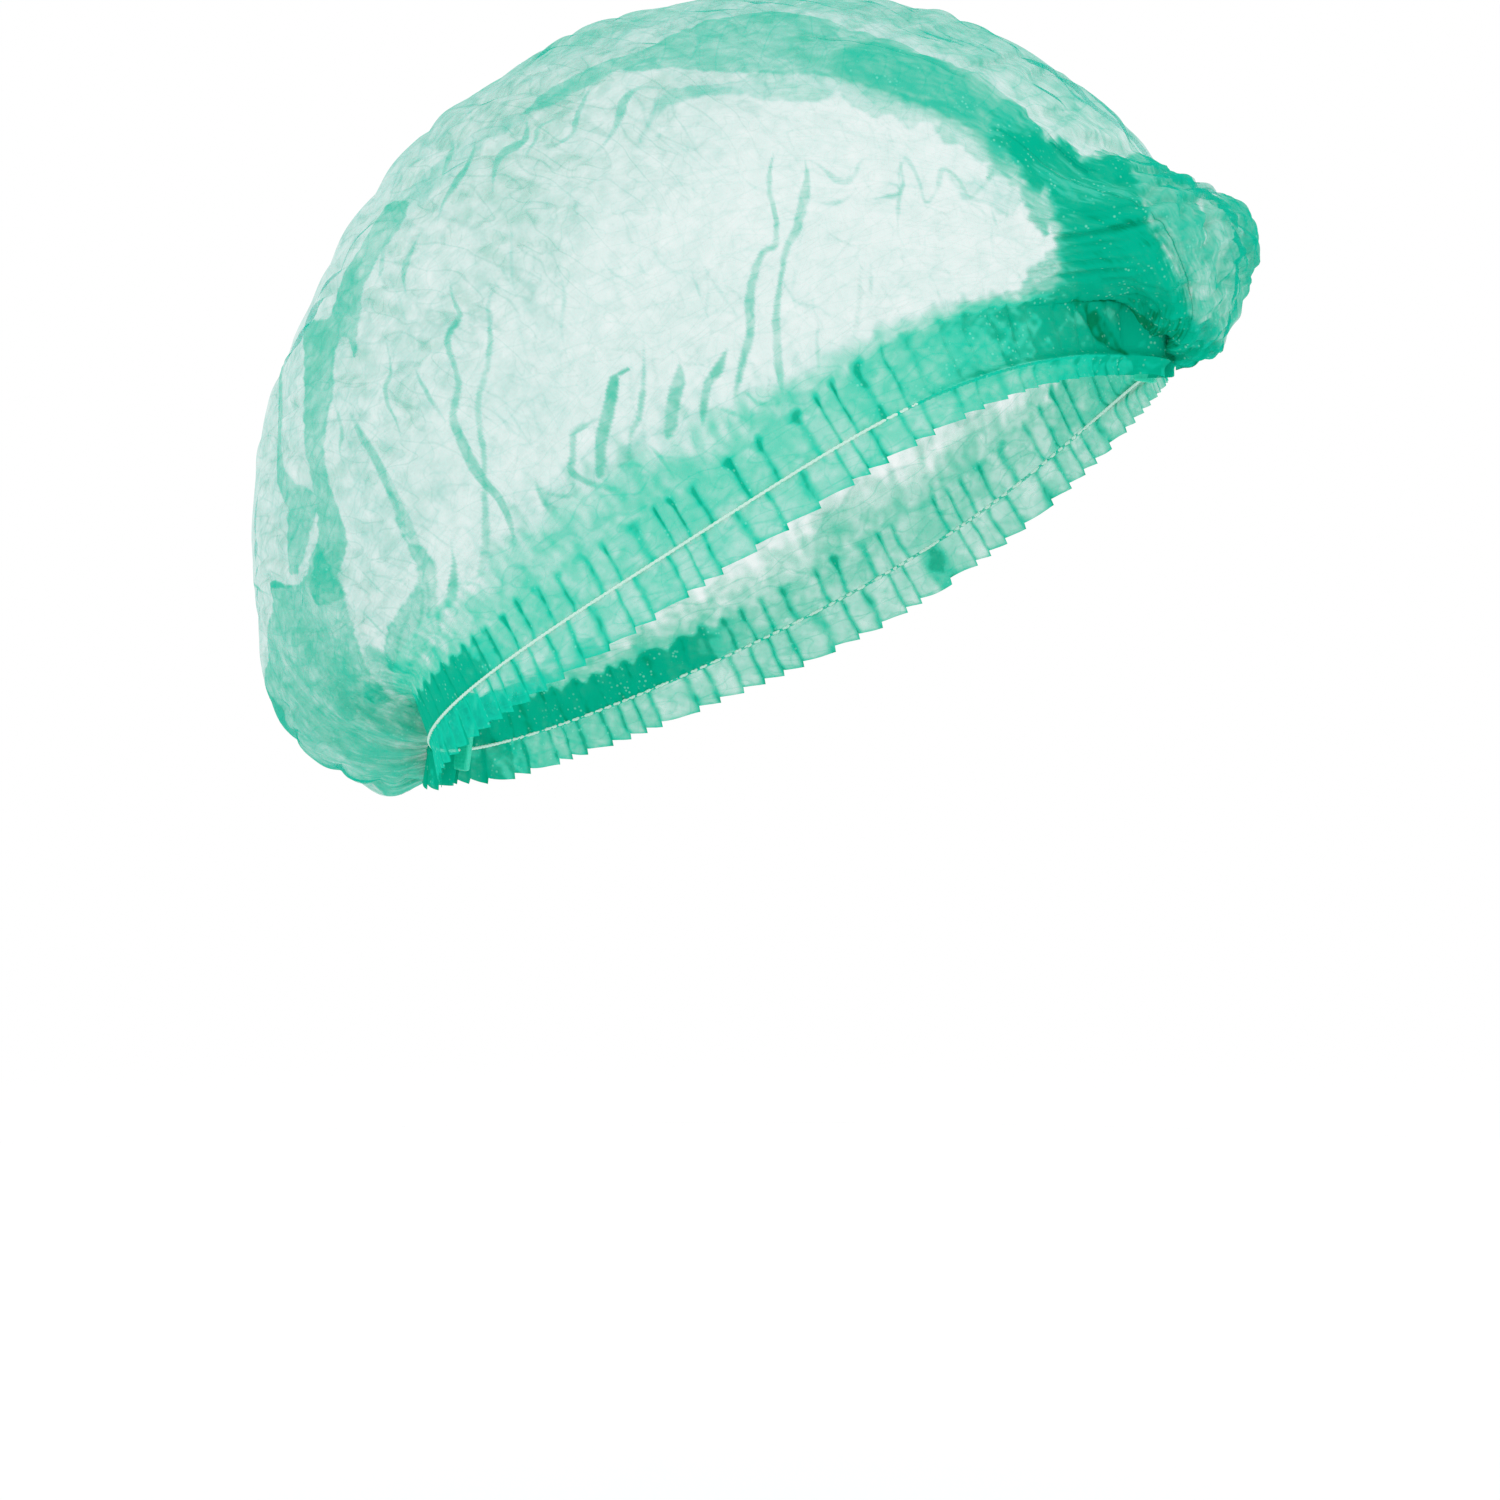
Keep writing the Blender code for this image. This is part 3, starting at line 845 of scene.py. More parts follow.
    def _near(self, route: Array, path: Array, reach: float) -> Array | None:
        """Find the part of this half that a route can change.

        Args:
            route: The route's places and courses.
            path: Its points.
            reach: How far from it the change goes, in millimetres.

        Returns:
            Which points of the sheet lie in its reach, or None if none does.
        """
        mine = route[:, 1] < 1.03 if self.side is Side.RIGHT else route[:, 1] > 0.97
        if not mine.any():
            return None
        low, high = path.min(axis=0) - reach, path.max(axis=0) + reach
        near = np.all((self.base > low) & (self.base < high), axis=-1)
        return near if near.any() else None

    def _trace(self, rows: Array, step: float, least: int) -> tuple[Array, Array, float]:
        """Lay a smooth route over the cap.

        Args:
            rows: Its places and courses.
            step: About how many millimetres apart its points are wanted.
            least: The least number of points.

        Returns:
            The route's places and courses, its points, and its length in millimetres.
        """
        span = float(np.sum(np.linalg.norm(np.diff(self.path(rows), axis=0), axis=1)))
        route = smooth_route(rows, max(least, int(span / step)))
        return route, self.path(route), span

    def press(self, fold: Fold) -> None:
        """Press one fold into the sheet.

        Args:
            fold: The fold's route and size.
        """
        rows = np.array(fold.route)
        route, path, span = self._trace(rows, self.route_step, 8)
        near = self._near(route, path, max(fold.halves) + fold.ruffle + 3.0)
        if near is None:
            return
        signed, run = nearest_on_path(path, self.base[near], self.normal[near])
        seed = int(1e4 * rows[0, 0] + 1e6 * max(rows[0, 1], 0.0))
        wander = np.where(signed > 0.0, edge_noise(run * span, self.edge_pitch, seed),
                          edge_noise(run * span, self.edge_pitch, seed + 1))
        half = np.interp(run, np.linspace(0.0, 1.0, len(fold.halves)), fold.halves)
        ends = np.clip(np.minimum(run, 1.0 - run) / fold.point, 0.0, 1.0)
        past = np.abs(signed) - (half * ends + fold.ruffle * wander * ends)
        self.gathered[near] += (self.fold_gain * fold.plies * np.sqrt(ends)
                                * ramp(-past, -fold.soft / 2.0, fold.soft / 2.0))
        self.lift[near] += fold.lift * ramp(-past, -1.2, 1.0) * ends

    def overlap(self, patch: Overlap) -> None:
        """Lay the sheet in more plies inside an outline.

        Args:
            patch: The outline and what lies in it.
        """
        rows = np.array(patch.route + patch.route[:1])
        route, path, span = self._trace(rows, self.outline_step, 16)
        near = self._near(route, path, patch.soft + 2.0)
        if near is None:
            return
        course = self.share[near] if self.side is Side.RIGHT else 2.0 - self.share[near]
        within = inside_outline(route, self.place[near], course)
        signed, run = nearest_on_path(path, self.base[near], self.normal[near])
        seed = int(1e4 * rows[0, 0] + 1e6 * rows[0, 1])
        depth = np.where(within, 1.0, -1.0) * np.abs(signed)
        depth += patch.ruffle * edge_noise(run * span, self.edge_pitch, seed)
        self.gathered[near] += patch.plies * ramp(depth, -patch.soft / 2.0, patch.soft / 2.0)
        self.gathered[near] += patch.rim * np.exp(-((depth / 0.5) ** 2))
        self.lift[near] += patch.lift * ramp(depth, -1.0, 1.4)

    def points(self) -> Array:
        """Return the sheet's folded points in millimetres."""
        return self.base + self.offset + self.normal * self.lift[..., None]

    def plies(self, points: Array) -> Array:
        """Count the layers of cloth that each point of the mesh stands for.

        Steep cloth holds more of the sheet than its place on the smooth cap shows.

        Args:
            points: The sheet's folded points.

        Returns:
            The layers at each point.
        """
        faces = np.cross(np.gradient(points, axis=1), np.gradient(points, axis=0))
        area = np.linalg.norm(faces, axis=-1)
        shown = np.abs(dot(faces, self.normal))
        steep = np.clip(area / (shown + self.edge_on_share * area + 1e-9), 0.8, self.thickest)
        uneven = self.waves(51, 5.0, 5.0) + 1.3 * self.waves(52, 14.0, 16.0)
        mottle = 1.0 + self.mottle * np.clip(uneven, -2.5, 2.5)
        return steep * (1.0 + self.gathered * mottle)


def hex_colour(code: str) -> tuple[float, float, float, float]:
    """Turn an sRGB colour to linear.

    Args:
        code: The colour as # and six hex digits.

    Returns:
        Its linear red, green and blue, and an alpha of 1.
    """
    parts = [int(code[i:i + 2], 16) / 255.0 for i in (1, 3, 5)]
    linear = [c / 12.92 if c <= 0.04045 else ((c + 0.055) / 1.055) ** 2.4 for c in parts]
    return (*linear, 1.0)


def per_metre(size: float) -> float:
    """Return how many of a size in millimetres go into a metre, as a pattern's scale."""
    return 1.0 / (size * METRES)


def empty_tree(owner: Material | bpy.types.World) -> Tree:
    """Clear the node tree of a material or a world.

    Args:
        owner: The material or world.

    Returns:
        Its node tree, with nothing in it.
    """
    owner.use_nodes = True
    owner.node_tree.nodes.clear()
    return owner.node_tree


def add_node(tree: Tree, kind: str, settings: dict[str, Any] | None = None,
             inputs: dict[Any, Any] | None = None,
             output: int | str = 0) -> Socket | None:
    """Add a node with its settings and inputs.

    Args:
        tree: The node tree it joins.
        kind: The node's type name, without its first word ShaderNode.
        settings: Attributes of the node.
        inputs: What each input gets, by name or index: a value, or the socket that feeds it.
        output: Which of its outputs is wanted.

    Returns:
        That output, or None from a node without outputs.
    """
    node = tree.nodes.new("ShaderNode" + kind)
    for name, value in (settings or {}).items():
        setattr(node, name, value)
    for key, value in (inputs or {}).items():
        if isinstance(value, Socket):
            tree.links.new(value, node.inputs[key])
        else:
            node.inputs[key].default_value = value
    return node.outputs[output] if node.outputs else None


MULTIPLY = {"operation": "MULTIPLY"}
MULTIPLY_ADD = {"operation": "MULTIPLY_ADD"}
SUBTRACT = {"operation": "SUBTRACT"}
SMOOTH = {"interpolation_type": "SMOOTHSTEP"}
COLOUR = {"data_type": "RGBA"}


def surface(tree: Tree, height: Socket, strength: float,
            depth: float, inputs: dict[str, Any]) -> None:
    """End a material with its relief and its shader.

    Args:
        tree: The material's node tree.
        height: The pattern that stands up or dents in.
        strength: How strongly the relief shows.
        depth: The relief's height in metres.
        inputs: The shader's other inputs.
    """
    bump = add_node(tree, "Bump", None, {"Strength": strength, "Distance": depth, "Height": height})
    shader = add_node(tree, "BsdfPrincipled", None, {**inputs, "Normal": bump})
    add_node(tree, "OutputMaterial", None, {"Surface": shader})


# Spunbond polypropylene, melted fibres laid in a web and point bonded by heat: sheer and
# matt, cloudy where the web is thicker, with a grain of bond points, and deeper green in layers.
# Its pale glints on the bond points are painted highlights, and its deepest tone is partly painted shade.
@dataclass(frozen=True)
class SpunbondFinish:
    """The green spunbond of the cap, as thin as it lies in one layer or in many.

    Sizes are in millimetres. A pair of plies gives the layers between which a tone sets in.
    The fibres are drawn as tufts of 0.9 mm, because real ones of 0.02 mm are too fine to show.
    """

    name: str
    thin_tone: str = "#28BEAE"
    doubled_tone: str = "#10BEA4"
    doubled_plies: Pair = (2.0, 6.0)
    drawn_tone: str = "#0CBC9E"
    drawn_plies: Pair = (7.0, 13.0)
    deep_tone: str = "#00B08E"
    deep_plies: Pair = (24.0, 36.0)
    # The deepest tone is partly the colour of very many plies and partly painted shade, for the pocket
    # beside the front weld.
    deepest_tone_and_pocket_shade: str = "#008A60"
    deepest_plies: Pair = (60.0, 130.0)
    # The pale tone below is a painted highlight: glints of glossy bond points where the cloth lies in many
    # plies.
    bond_glint_tone: str = "#96EBD7"
    glint_plies: Pair = (9.0, 18.0)
    glint_strength: float = 0.42
    cover: float = 0.20
    bare_web: float = -0.02
    mean_web: float = 0.85
    mean_cover: float = 1.35
    evened_plies: Pair = (1.5, 14.0)
    evened_web: float = 0.4
    fibre_size: float = 0.9
    fibre_part: float = 0.34
    cloud_size: float = 4.5
    cloud_part: float = 1.2
    crinkle_size: float = 8.0
    crinkle_width: float = 0.024
    crinkle_part: float = 0.30
    level_scale: tuple[float, float, float] = (70.0, 240.0, 1.0)
    level_width: float = 0.030
    upright_scale: tuple[float, float, float] = (250.0, 45.0, 1.0)
    upright_width: float = 0.034
    level_from_midline: Pair = (0.060, 0.100)
    wrinkle_part: float = 0.42
    bond_pitch: float = 1.3
    bond_edge: Pair = (0.12, 0.34)
    bond_cover: Pair = (1.12, 0.98)
    glint_edge: Pair = (0.29, 0.14)
    glint_clouds: Pair = (0.48, 0.62)
    relief: Pair = (0.08, 0.0003)
    roughness: float = 0.82
    specular: float = 0.02
    ior: float = 1.49

    def _ridges(self, tree: Tree, spot: Socket, scale: tuple[float, float, float],
                width: float) -> Socket:
        """Draw the thin winding lines of crushed cloth.

        Args:
            tree: The material's node tree.
            spot: The coordinates they lie in.
            scale: Waves per metre along each coordinate.
            width: Half the lines' width, as a share of the noise.

        Returns:
            1 on a line and 0 between.
        """
        scaled = add_node(tree, "Mapping", None, {"Vector": spot, "Scale": scale})
        noise = add_node(tree, "TexNoise", None, {"Vector": scaled, "Scale": 1.0, "Detail": 1.0,
                                                  "Roughness": 0.35, "Distortion": 0.35})
        away = add_node(tree, "Math", SUBTRACT, {0: noise, 1: 0.5})
        away = add_node(tree, "Math", {"operation": "ABSOLUTE"}, {0: away})
        return add_node(tree, "MapRange", SMOOTH, {"Value": away, "From Min": width, "From Max": 0.0})

    def _wrinkles(self, tree: Tree) -> Socket:
        """Draw creases that run up the side, and level ones towards the hem.

        Args:
            tree: The material's node tree.

        Returns:
            1 on a crease and 0 between.
        """
        cloth = add_node(tree, "UVMap", {"uv_map": "cloth"})
        level = self._ridges(tree, cloth, self.level_scale, self.level_width)
        upright = self._ridges(tree, cloth, self.upright_scale, self.upright_width)
        from_top = add_node(tree, "SeparateXYZ", None, {0: cloth}, 1)
        from_top = add_node(tree, "Math", {"operation": "ABSOLUTE"}, {0: from_top})
        first, last = self.level_from_midline
        low = add_node(tree, "MapRange", None, {"Value": from_top, "From Min": first, "From Max": last})
        return add_node(tree, "Mix", None, {0: low, 2: upright, 3: level})

    def make(self) -> Material:
        """Build the material.

        Returns:
            The material, dressed in its patterns and relief.
        """
        material = bpy.data.materials.new(self.name)
        tree = empty_tree(material)
        place = add_node(tree, "TexCoord", output="Object")
        fibres = add_node(tree, "TexNoise", None, {
            "Vector": place, "Scale": per_metre(self.fibre_size), "Detail": 2.5, "Roughness": 0.6})
        clouds = add_node(tree, "TexNoise", None, {
            "Vector": place, "Scale": per_metre(self.cloud_size), "Detail": 2.0})
        bonds = add_node(tree, "TexVoronoi", None, {
            "Vector": place, "Scale": per_metre(self.bond_pitch), "Randomness": 0.8})
        crinkles = self._ridges(tree, place, (per_metre(self.crinkle_size),) * 3, self.crinkle_width)
        web = self.bare_web
        for pattern, part in ((fibres, self.fibre_part), (clouds, self.cloud_part),
                              (crinkles, self.crinkle_part), (self._wrinkles(tree), self.wrinkle_part)):
            web = add_node(tree, "Math", MULTIPLY_ADD, {0: pattern, 1: part, 2: web})
        layers = add_node(tree, "Attribute", {"attribute_name": "plies"}, output="Fac")
        tone, glint = self._tones(tree, layers, bonds, clouds)
        # Painted highlights: pale glints mixed in at the bond points.
        tone = add_node(tree, "Mix", COLOUR, {0: glint, 6: tone, 7: hex_colour(self.bond_glint_tone)}, 2)
        alpha = self._alpha(tree, web, layers, bonds)
        surface(tree, web, *self.relief, {
            "Base Color": tone, "Alpha": alpha, "Roughness": self.roughness,
            "Specular IOR Level": self.specular, "IOR": self.ior})
        return material

    def _alpha(self, tree: Tree, web: Socket, layers: Socket, bonds: Socket) -> Socket:
        """Work out how much the cloth covers, which evens out where it lies in layers.

        Args:
            tree: The material's node tree.
            web: How dense the web is.
            layers: How many layers of cloth lie there.
            bonds: Distance from the nearest bond point.

        Returns:
            The share of what lies behind that the cloth covers.
        """
        (near, far), (inside, outside) = self.bond_edge, self.bond_cover
        dots = add_node(tree, "MapRange", None, {"Value": bonds, "From Min": near, "From Max": far,
                                                 "To Min": inside, "To Max": outside})
        first, last = self.evened_plies
        evened = add_node(tree, "MapRange", None, {"Value": layers, "From Min": first, "From Max": last,
                                                   "To Min": 1.0, "To Max": self.evened_web})
        uneven = add_node(tree, "Math", SUBTRACT, {0: web, 1: self.mean_web})
        density = add_node(tree, "Math", MULTIPLY_ADD, {0: uneven, 1: evened, 2: self.mean_web})
        for factor in (dots, self.cover / self.mean_cover, layers, -1.0):
            density = add_node(tree, "Math", MULTIPLY, {0: density, 1: factor})
        open_share = add_node(tree, "Math", {"operation": "EXPONENT"}, {0: density})
        return add_node(tree, "Math", {**SUBTRACT, "use_clamp": True}, {0: 1.0, 1: open_share})

    def _tones(self, tree: Tree, layers: Socket, bonds: Socket,
               clouds: Socket) -> tuple[Socket, Socket]:
        """Deepen the tone with the layers; the deepest step is partly painted shade.

        Args:
            tree: The material's node tree.
            layers: How many layers of cloth lie there.
            bonds: Distance from the nearest bond point.
            clouds: Thicker and thinner patches of the web.

        Returns:
            The tone, and the share of painted highlights on it: pale glints at the bond points.
        """
        tone = hex_colour(self.thin_tone)
        for colour, (first, last) in ((self.doubled_tone, self.doubled_plies),
                                      (self.drawn_tone, self.drawn_plies),
                                      (self.deep_tone, self.deep_plies),
                                      (self.deepest_tone_and_pocket_shade, self.deepest_plies)):
            share = add_node(tree, "MapRange", SMOOTH,
                             {"Value": layers, "From Min": first, "From Max": last})
            tone = add_node(tree, "Mix", COLOUR, {0: share, 6: tone, 7: hex_colour(colour)}, 2)
        # Painted highlights: pale glints at bond points, in some patches, where the cloth lies in many
        # plies.
        glint = 1.0
        for source, (low, high), most in ((bonds, self.glint_edge, 1.0),
                                          (layers, self.glint_plies, self.glint_strength),
                                          (clouds, self.glint_clouds, 1.0)):
            share = add_node(tree, "MapRange", None, {"Value": source, "From Min": low,
                                                      "From Max": high, "To Max": most})
            glint = add_node(tree, "Math", MULTIPLY, {0: glint, 1: share})
        return tone, glint


@dataclass(frozen=True)
class PatternedFinish:
    """A finish whose small raised pattern is paler than the ground between."""

    name: str
    raised_tone: str
    ground_tone: str
    pattern: str
    pattern_size: float
    pattern_inputs: dict[str, float]
    relief: Pair
    roughness: float
    specular: float

    def make(self) -> Material:
        """Build the material.

        Returns:
            The material, dressed in its patterns and relief.
        """
        material = bpy.data.materials.new(self.name)
        tree = empty_tree(material)
        place = add_node(tree, "TexCoord", output="Object")
        pattern = add_node(tree, self.pattern, None, {
            "Vector": place, "Scale": per_metre(self.pattern_size), **self.pattern_inputs})
        tone = add_node(tree, "Mix", COLOUR, {
            0: pattern, 6: hex_colour(self.ground_tone), 7: hex_colour(self.raised_tone)}, 2)
        surface(tree, pattern, *self.relief, {
            "Base Color": tone, "Roughness": self.roughness, "Specular IOR Level": self.specular})
        return material


# Covered elastic: pale polyester yarn wound round a stretched core, matt and soft to the eye.
# The yarn's grain is drawn at 0.35 mm, because the real one of 0.1 mm is too fine to show.
COVERED_ELASTIC = PatternedFinish(
    "covered_elastic", raised_tone="#DDF3EA", ground_tone="#A9DCC9", pattern="TexNoise",
    pattern_size=0.35, pattern_inputs={"Detail": 2.0}, relief=(0.5, 0.0002), roughness=0.75,
    specular=0.3)
# Spunbond pleats fused by heat: the fibres are melted to a darker, glossier film, with the
# dimples of the welding bar. Its tones are painted light, lighter than the cloth's, to lift
# the shade that falls on the welds.
LIGHTENED_FUSED_SPUNBOND = PatternedFinish(
    "fused_spunbond", raised_tone="#10D8B4", ground_tone="#00C8A2", pattern="TexVoronoi",
    pattern_size=0.9, pattern_inputs={"Randomness": 0.3}, relief=(0.6, 0.0003), roughness=0.45,
    specular=0.4)


def mesh_object(name: str, points: Array, faces: Array, material: Material,
                values: dict[str, Array] | None = None, cloth: Array | None = None) -> bpy.types.Object:
    """Return a new object of a mesh given in millimetres.

    Args:
        name: The piece's name.
        points: Its points, one a row.
        faces: Its four-sided faces, as rows of point numbers.
        material: Its material.
        values: Named numbers stored on the points.
        cloth: Flat cloth coordinates of the points in metres, stored as a UV map.

    Returns:
        The object, linked to the scene and shaded smooth.
    """
    mesh = bpy.data.meshes.new(name)
    mesh.vertices.add(len(points))
    mesh.vertices.foreach_set("co", (points * METRES).astype(np.float32).ravel())
    mesh.loops.add(faces.size)
    mesh.loops.foreach_set("vertex_index", faces.astype(np.int32).ravel())
    mesh.polygons.add(len(faces))
    mesh.polygons.foreach_set("loop_start", np.arange(0, faces.size, 4, dtype=np.int32))
    mesh.update(calc_edges=True)
    mesh.validate()
    for label, numbers in (values or {}).items():
        layer = mesh.attributes.new(label, "FLOAT", "POINT")
        layer.data.foreach_set("value", numbers.astype(np.float32).ravel())
    if cloth is not None:
        layer = mesh.uv_layers.new(name="cloth")
        layer.uv.foreach_set("vector", cloth[faces.ravel()].astype(np.float32).ravel())
    mesh.materials.append(material)
    mesh.shade_smooth()
    thing = bpy.data.objects.new(name, mesh)
    bpy.context.scene.collection.objects.link(thing)
    return thing


def grid_faces(rows: int, columns: int, flip: bool) -> Array:
    """Return the faces of a grid of points.

    Args:
        rows: Rows of points.
        columns: Points in a row.
        flip: Whether the faces are wound the other way.

    Returns:
        Rows of four point numbers.
    """
    corner = np.arange(rows * columns).reshape(rows, columns)
    a, b = corner[:-1, :-1].ravel(), corner[:-1, 1:].ravel()
    c, d = corner[1:, 1:].ravel(), corner[1:, :-1].ravel()
    return np.stack([a, d, c, b] if flip else [a, b, c, d], axis=1)


@dataclass(frozen=True)
class Crumple:
    """How handled non-woven dents, puffs up and creases.

    Lengths are in millimetres and plies in layers of cloth. A pair gives the two places or
    shares of the way up to the midline between which something sets in.
    """

    soft_dent: float = 0.8
    small_dent: float = 0.12
    dents_reach: float = 25.0
    rim_plies: float = 0.8
    rim_reach: float = 14.0
    even_plies: float = 0.32
    upper_plies: float = 1.3
    upper_shares: Pair = (0.50, 0.80)
    rear_plies: float = 0.9
    rear_places: Pair = (0.46, 0.72)
    lobe_pitch: float = 8.5
    lobe_wander: float = 0.45
    lobe_shares: Pair = (0.55, 0.85)
    mean_lobe: float = 0.64
    lobe_height: float = 1.1
    rear_lobe_height: float = 0.7
    rear_lobe_places: Pair = (0.48, 0.60)
    lip_rise: float = 0.30
    lip_fall: float = 0.8
    mean_lip: float = 0.35
    lip_height: float = 2.4
    lip_places: Pair = (0.30, 0.18)
    valley_width: float = 0.7
    valley_plies: float = 0.3
    bar_plies: float = 0.9
    puffed_plies: float = 1.7
    puffed_places: Pair = (0.68, 0.58)
    facet_slants: Pair = (0.7, 0.4)
    facet_height: float = 0.7
    mean_facet: float = 0.8
    facet_places: Pair = (0.19, 0.11)
    facet_plies: float = 13.0
    facet_draw: Pair = (0.2, 1.3)
    facet_plies_places: Pair = (0.14, 0.08)
    facet_shares: Pair = (0.55, 0.40)
    crepe_shares: Pair = (0.55, 0.35)
    weld_pleats: float = 9.0
    weld_pleat_reach: float = 1.5
    weld_pleat_wander: float = 0.35
    weld_pleat_depth: float = 0.12
    weld_pleat_width: float = 1.1
    stray_count: int = 150
    stray_places: Pair = (0.16, 0.88)
    stray_courses: Pair = (0.02, 0.75)
    stray_lean: float = 0.012
    stray_jitter: float = 0.004
    stray_step: Pair = (0.015, 0.05)
    stray_half: Pair = (0.2, 0.5)
    stray_plies: Pair = (0.2, 0.55)
    stray_end: float = 0.15


@dataclass
class CapCloth:
    """The whole sheet: both halves with their folds, cut into named pieces."""

    form: CrownForm = field(default_factory=CrownForm)
    gathers: Gathers = field(default_factory=Gathers)
    crumple: Crumple = field(default_factory=Crumple)
    crown_finish: SpunbondFinish = SpunbondFinish("sheer_spunbond")
    # The hem's copy has lighter doubled and drawn tones than the crown's: painted light, as the hem stands
    # lit from the front.
    lit_hem_finish: SpunbondFinish = SpunbondFinish("gathered_spunbond_hem", doubled_tone="#12C6AA",
                                                drawn_tone="#0EC8A8")
    hem_flat: Pair = (0.0195, 0.40)
    strip_widths: dict[Side, tuple[float, ...]] = field(default_factory=lambda: {
        Side.RIGHT: (0.032, 0.029, 0.035, 0.045), Side.LEFT: (0.061, 0.080)})
    seeds: dict[Side, int] = field(default_factory=lambda: {Side.RIGHT: 11, Side.LEFT: 47})
    crown_rows_of_hem: int = 27

    def folded_half(self, side: Side) -> HalfSheet:
        """Press all its folds into one half of the sheet.

        Args:
            side: Which half.

        Returns:
            The folded half.
        """
        half = HalfSheet(side, self.form, self.gathers, **GRIDS[side])
        seed = self.seeds[side]
        half.gather_hem(seed)
        self._dent(half)
        self._puff_lobes(half)
        self._crush_forehead(half)
        self._crepe(half)
        self._pleat_from_welds(half, seed)
        for patch in BAND + FRONT_MASS + REAR_STRANDS + LEAVES:
            half.overlap(patch)
        for fold in CREASES:
            half.press(fold)
        self._stray_creases(half, seed)
        return half

    def _free(self, half: HalfSheet) -> Array:
        """Return 0 at the hem and 1 where the crown is free of it."""
        rim = self.form.rim_above
        return ramp(half.above_elastic, rim, rim + self.crumple.dents_reach)

    def _dent(self, half: HalfSheet) -> None:
        """Add soft dents, and the cloth that is drawn in over the whole crown.

        Args:
            half: The half that gets them.
        """
        sizes, free, rim = self.crumple, self._free(half), self.form.rim_above
        half.lift += free * (sizes.soft_dent * half.waves(5, 45.0, 60.0)
                             + sizes.small_dent * half.waves(6, 14.0, 22.0))
        above = np.maximum(half.above_elastic - rim, 0.0)
        drawn = sizes.rim_plies * np.exp(-above / sizes.rim_reach) * (half.above_elastic > rim)
        half.gathered += drawn + free * (
            sizes.even_plies + sizes.upper_plies * ramp(half.share, *sizes.upper_shares)
            + sizes.rear_plies * ramp(half.place, *sizes.rear_places))

    def _puff_lobes(self, half: HalfSheet) -> None:
        """Puff up the cloth beside the midline into lobes, with overhanging lips in front.

        Args:
            half: The half that gets them.
        """
        sizes = self.crumple
        turn = half.along_cloth / sizes.lobe_pitch + sizes.lobe_wander * half.waves(9, 36.0, 170.0)
        puffed = ramp(half.share, *sizes.lobe_shares)
        front = ramp(half.place, *sizes.lip_places)
        rear = ramp(half.place, *sizes.rear_lobe_places)
        round_lobe = np.abs(np.sin(np.pi * turn)) - sizes.mean_lobe
        within = turn - np.floor(turn)
        lip = ramp(within, 0.0, sizes.lip_rise) * (1.0 - within) ** sizes.lip_fall - sizes.mean_lip
        half.lift += puffed * (sizes.lobe_height * round_lobe * (1.0 - front)
                               + sizes.lip_height * lip * front
                               + sizes.rear_lobe_height * round_lobe * rear)
        valley = np.exp(-(((turn - np.round(turn)) * sizes.lobe_pitch / sizes.valley_width) ** 2))
        bar = np.clip(half.waves(8, 6.0, 40.0), -1.0, 1.6)
        half.gathered += puffed * (sizes.valley_plies * valley + sizes.bar_plies * bar)
        half.gathered += sizes.puffed_plies * puffed * ramp(half.place, *sizes.puffed_places)

    def _crush_forehead(self, half: HalfSheet) -> None:
        """Crush the mass of pleats over the forehead into facets, in space and not in the cloth.

        Args:
            half: The half that gets them.
        """
        sizes = self.crumple
        mass = ramp(half.place, *sizes.facet_places)
        forward, inward = sizes.facet_slants
        sideways = half.base[..., 0] + forward * half.base[..., 1]
        upwards = half.base[..., 2] - inward * half.base[..., 0]
        facet = Waves(31, along=12.0, across=10.0)(sideways, upwards)
        darker = Waves(32, along=11.0, across=9.0)(sideways, upwards)
        half.lift += sizes.facet_height * mass * self._free(half) * (np.abs(facet) - sizes.mean_facet)
        half.gathered += (sizes.facet_plies * ramp(half.place, *sizes.facet_plies_places)
                          * ramp(darker, *sizes.facet_draw) * ramp(half.share, *sizes.facet_shares))

    def _crepe(self, half: HalfSheet) -> None:
        """Add three runs of fine crepe, stronger in some stretches than in others.

        Args:
            half: The half that gets them.
        """
        some = ramp(half.waves(7, 70.0, 70.0), -0.8, 0.9)
        lower = 0.8 * some * ramp(half.share, *self.crumple.crepe_shares)
        for run, where in zip(CREPE, (some, 1.0 - 0.5 * some, lower)):
            half.crepe(run, where)

    def _pleat_from_welds(self, half: HalfSheet, seed: int) -> None:
        """Add the pleats that fan out from both welds.

        Args:
            half: The half that gets them.
            seed: Seed of how they wander.
        """
        sizes = self.crumple
        near = np.minimum(self.form.loop.weld_nearness(half.place) * sizes.weld_pleat_reach, 1.0)
        wander = half.waves(seed + 5, 60.0, 60.0)
        phase = sizes.weld_pleats * half.share + sizes.weld_pleat_wander * wander
        offset = phase - np.round(phase)
        pitch = 0.5 * half.girth / sizes.weld_pleats
        valley = np.exp(-((offset * pitch / sizes.weld_pleat_width) ** 2))
        free = ramp(half.share, 0.0, 0.10)
        rear = ramp(half.place, 0.4, 0.6)
        half.lift -= sizes.weld_pleat_depth * near * free * valley
        half.gathered += near * free * rear * (0.8 + 0.4 * valley)

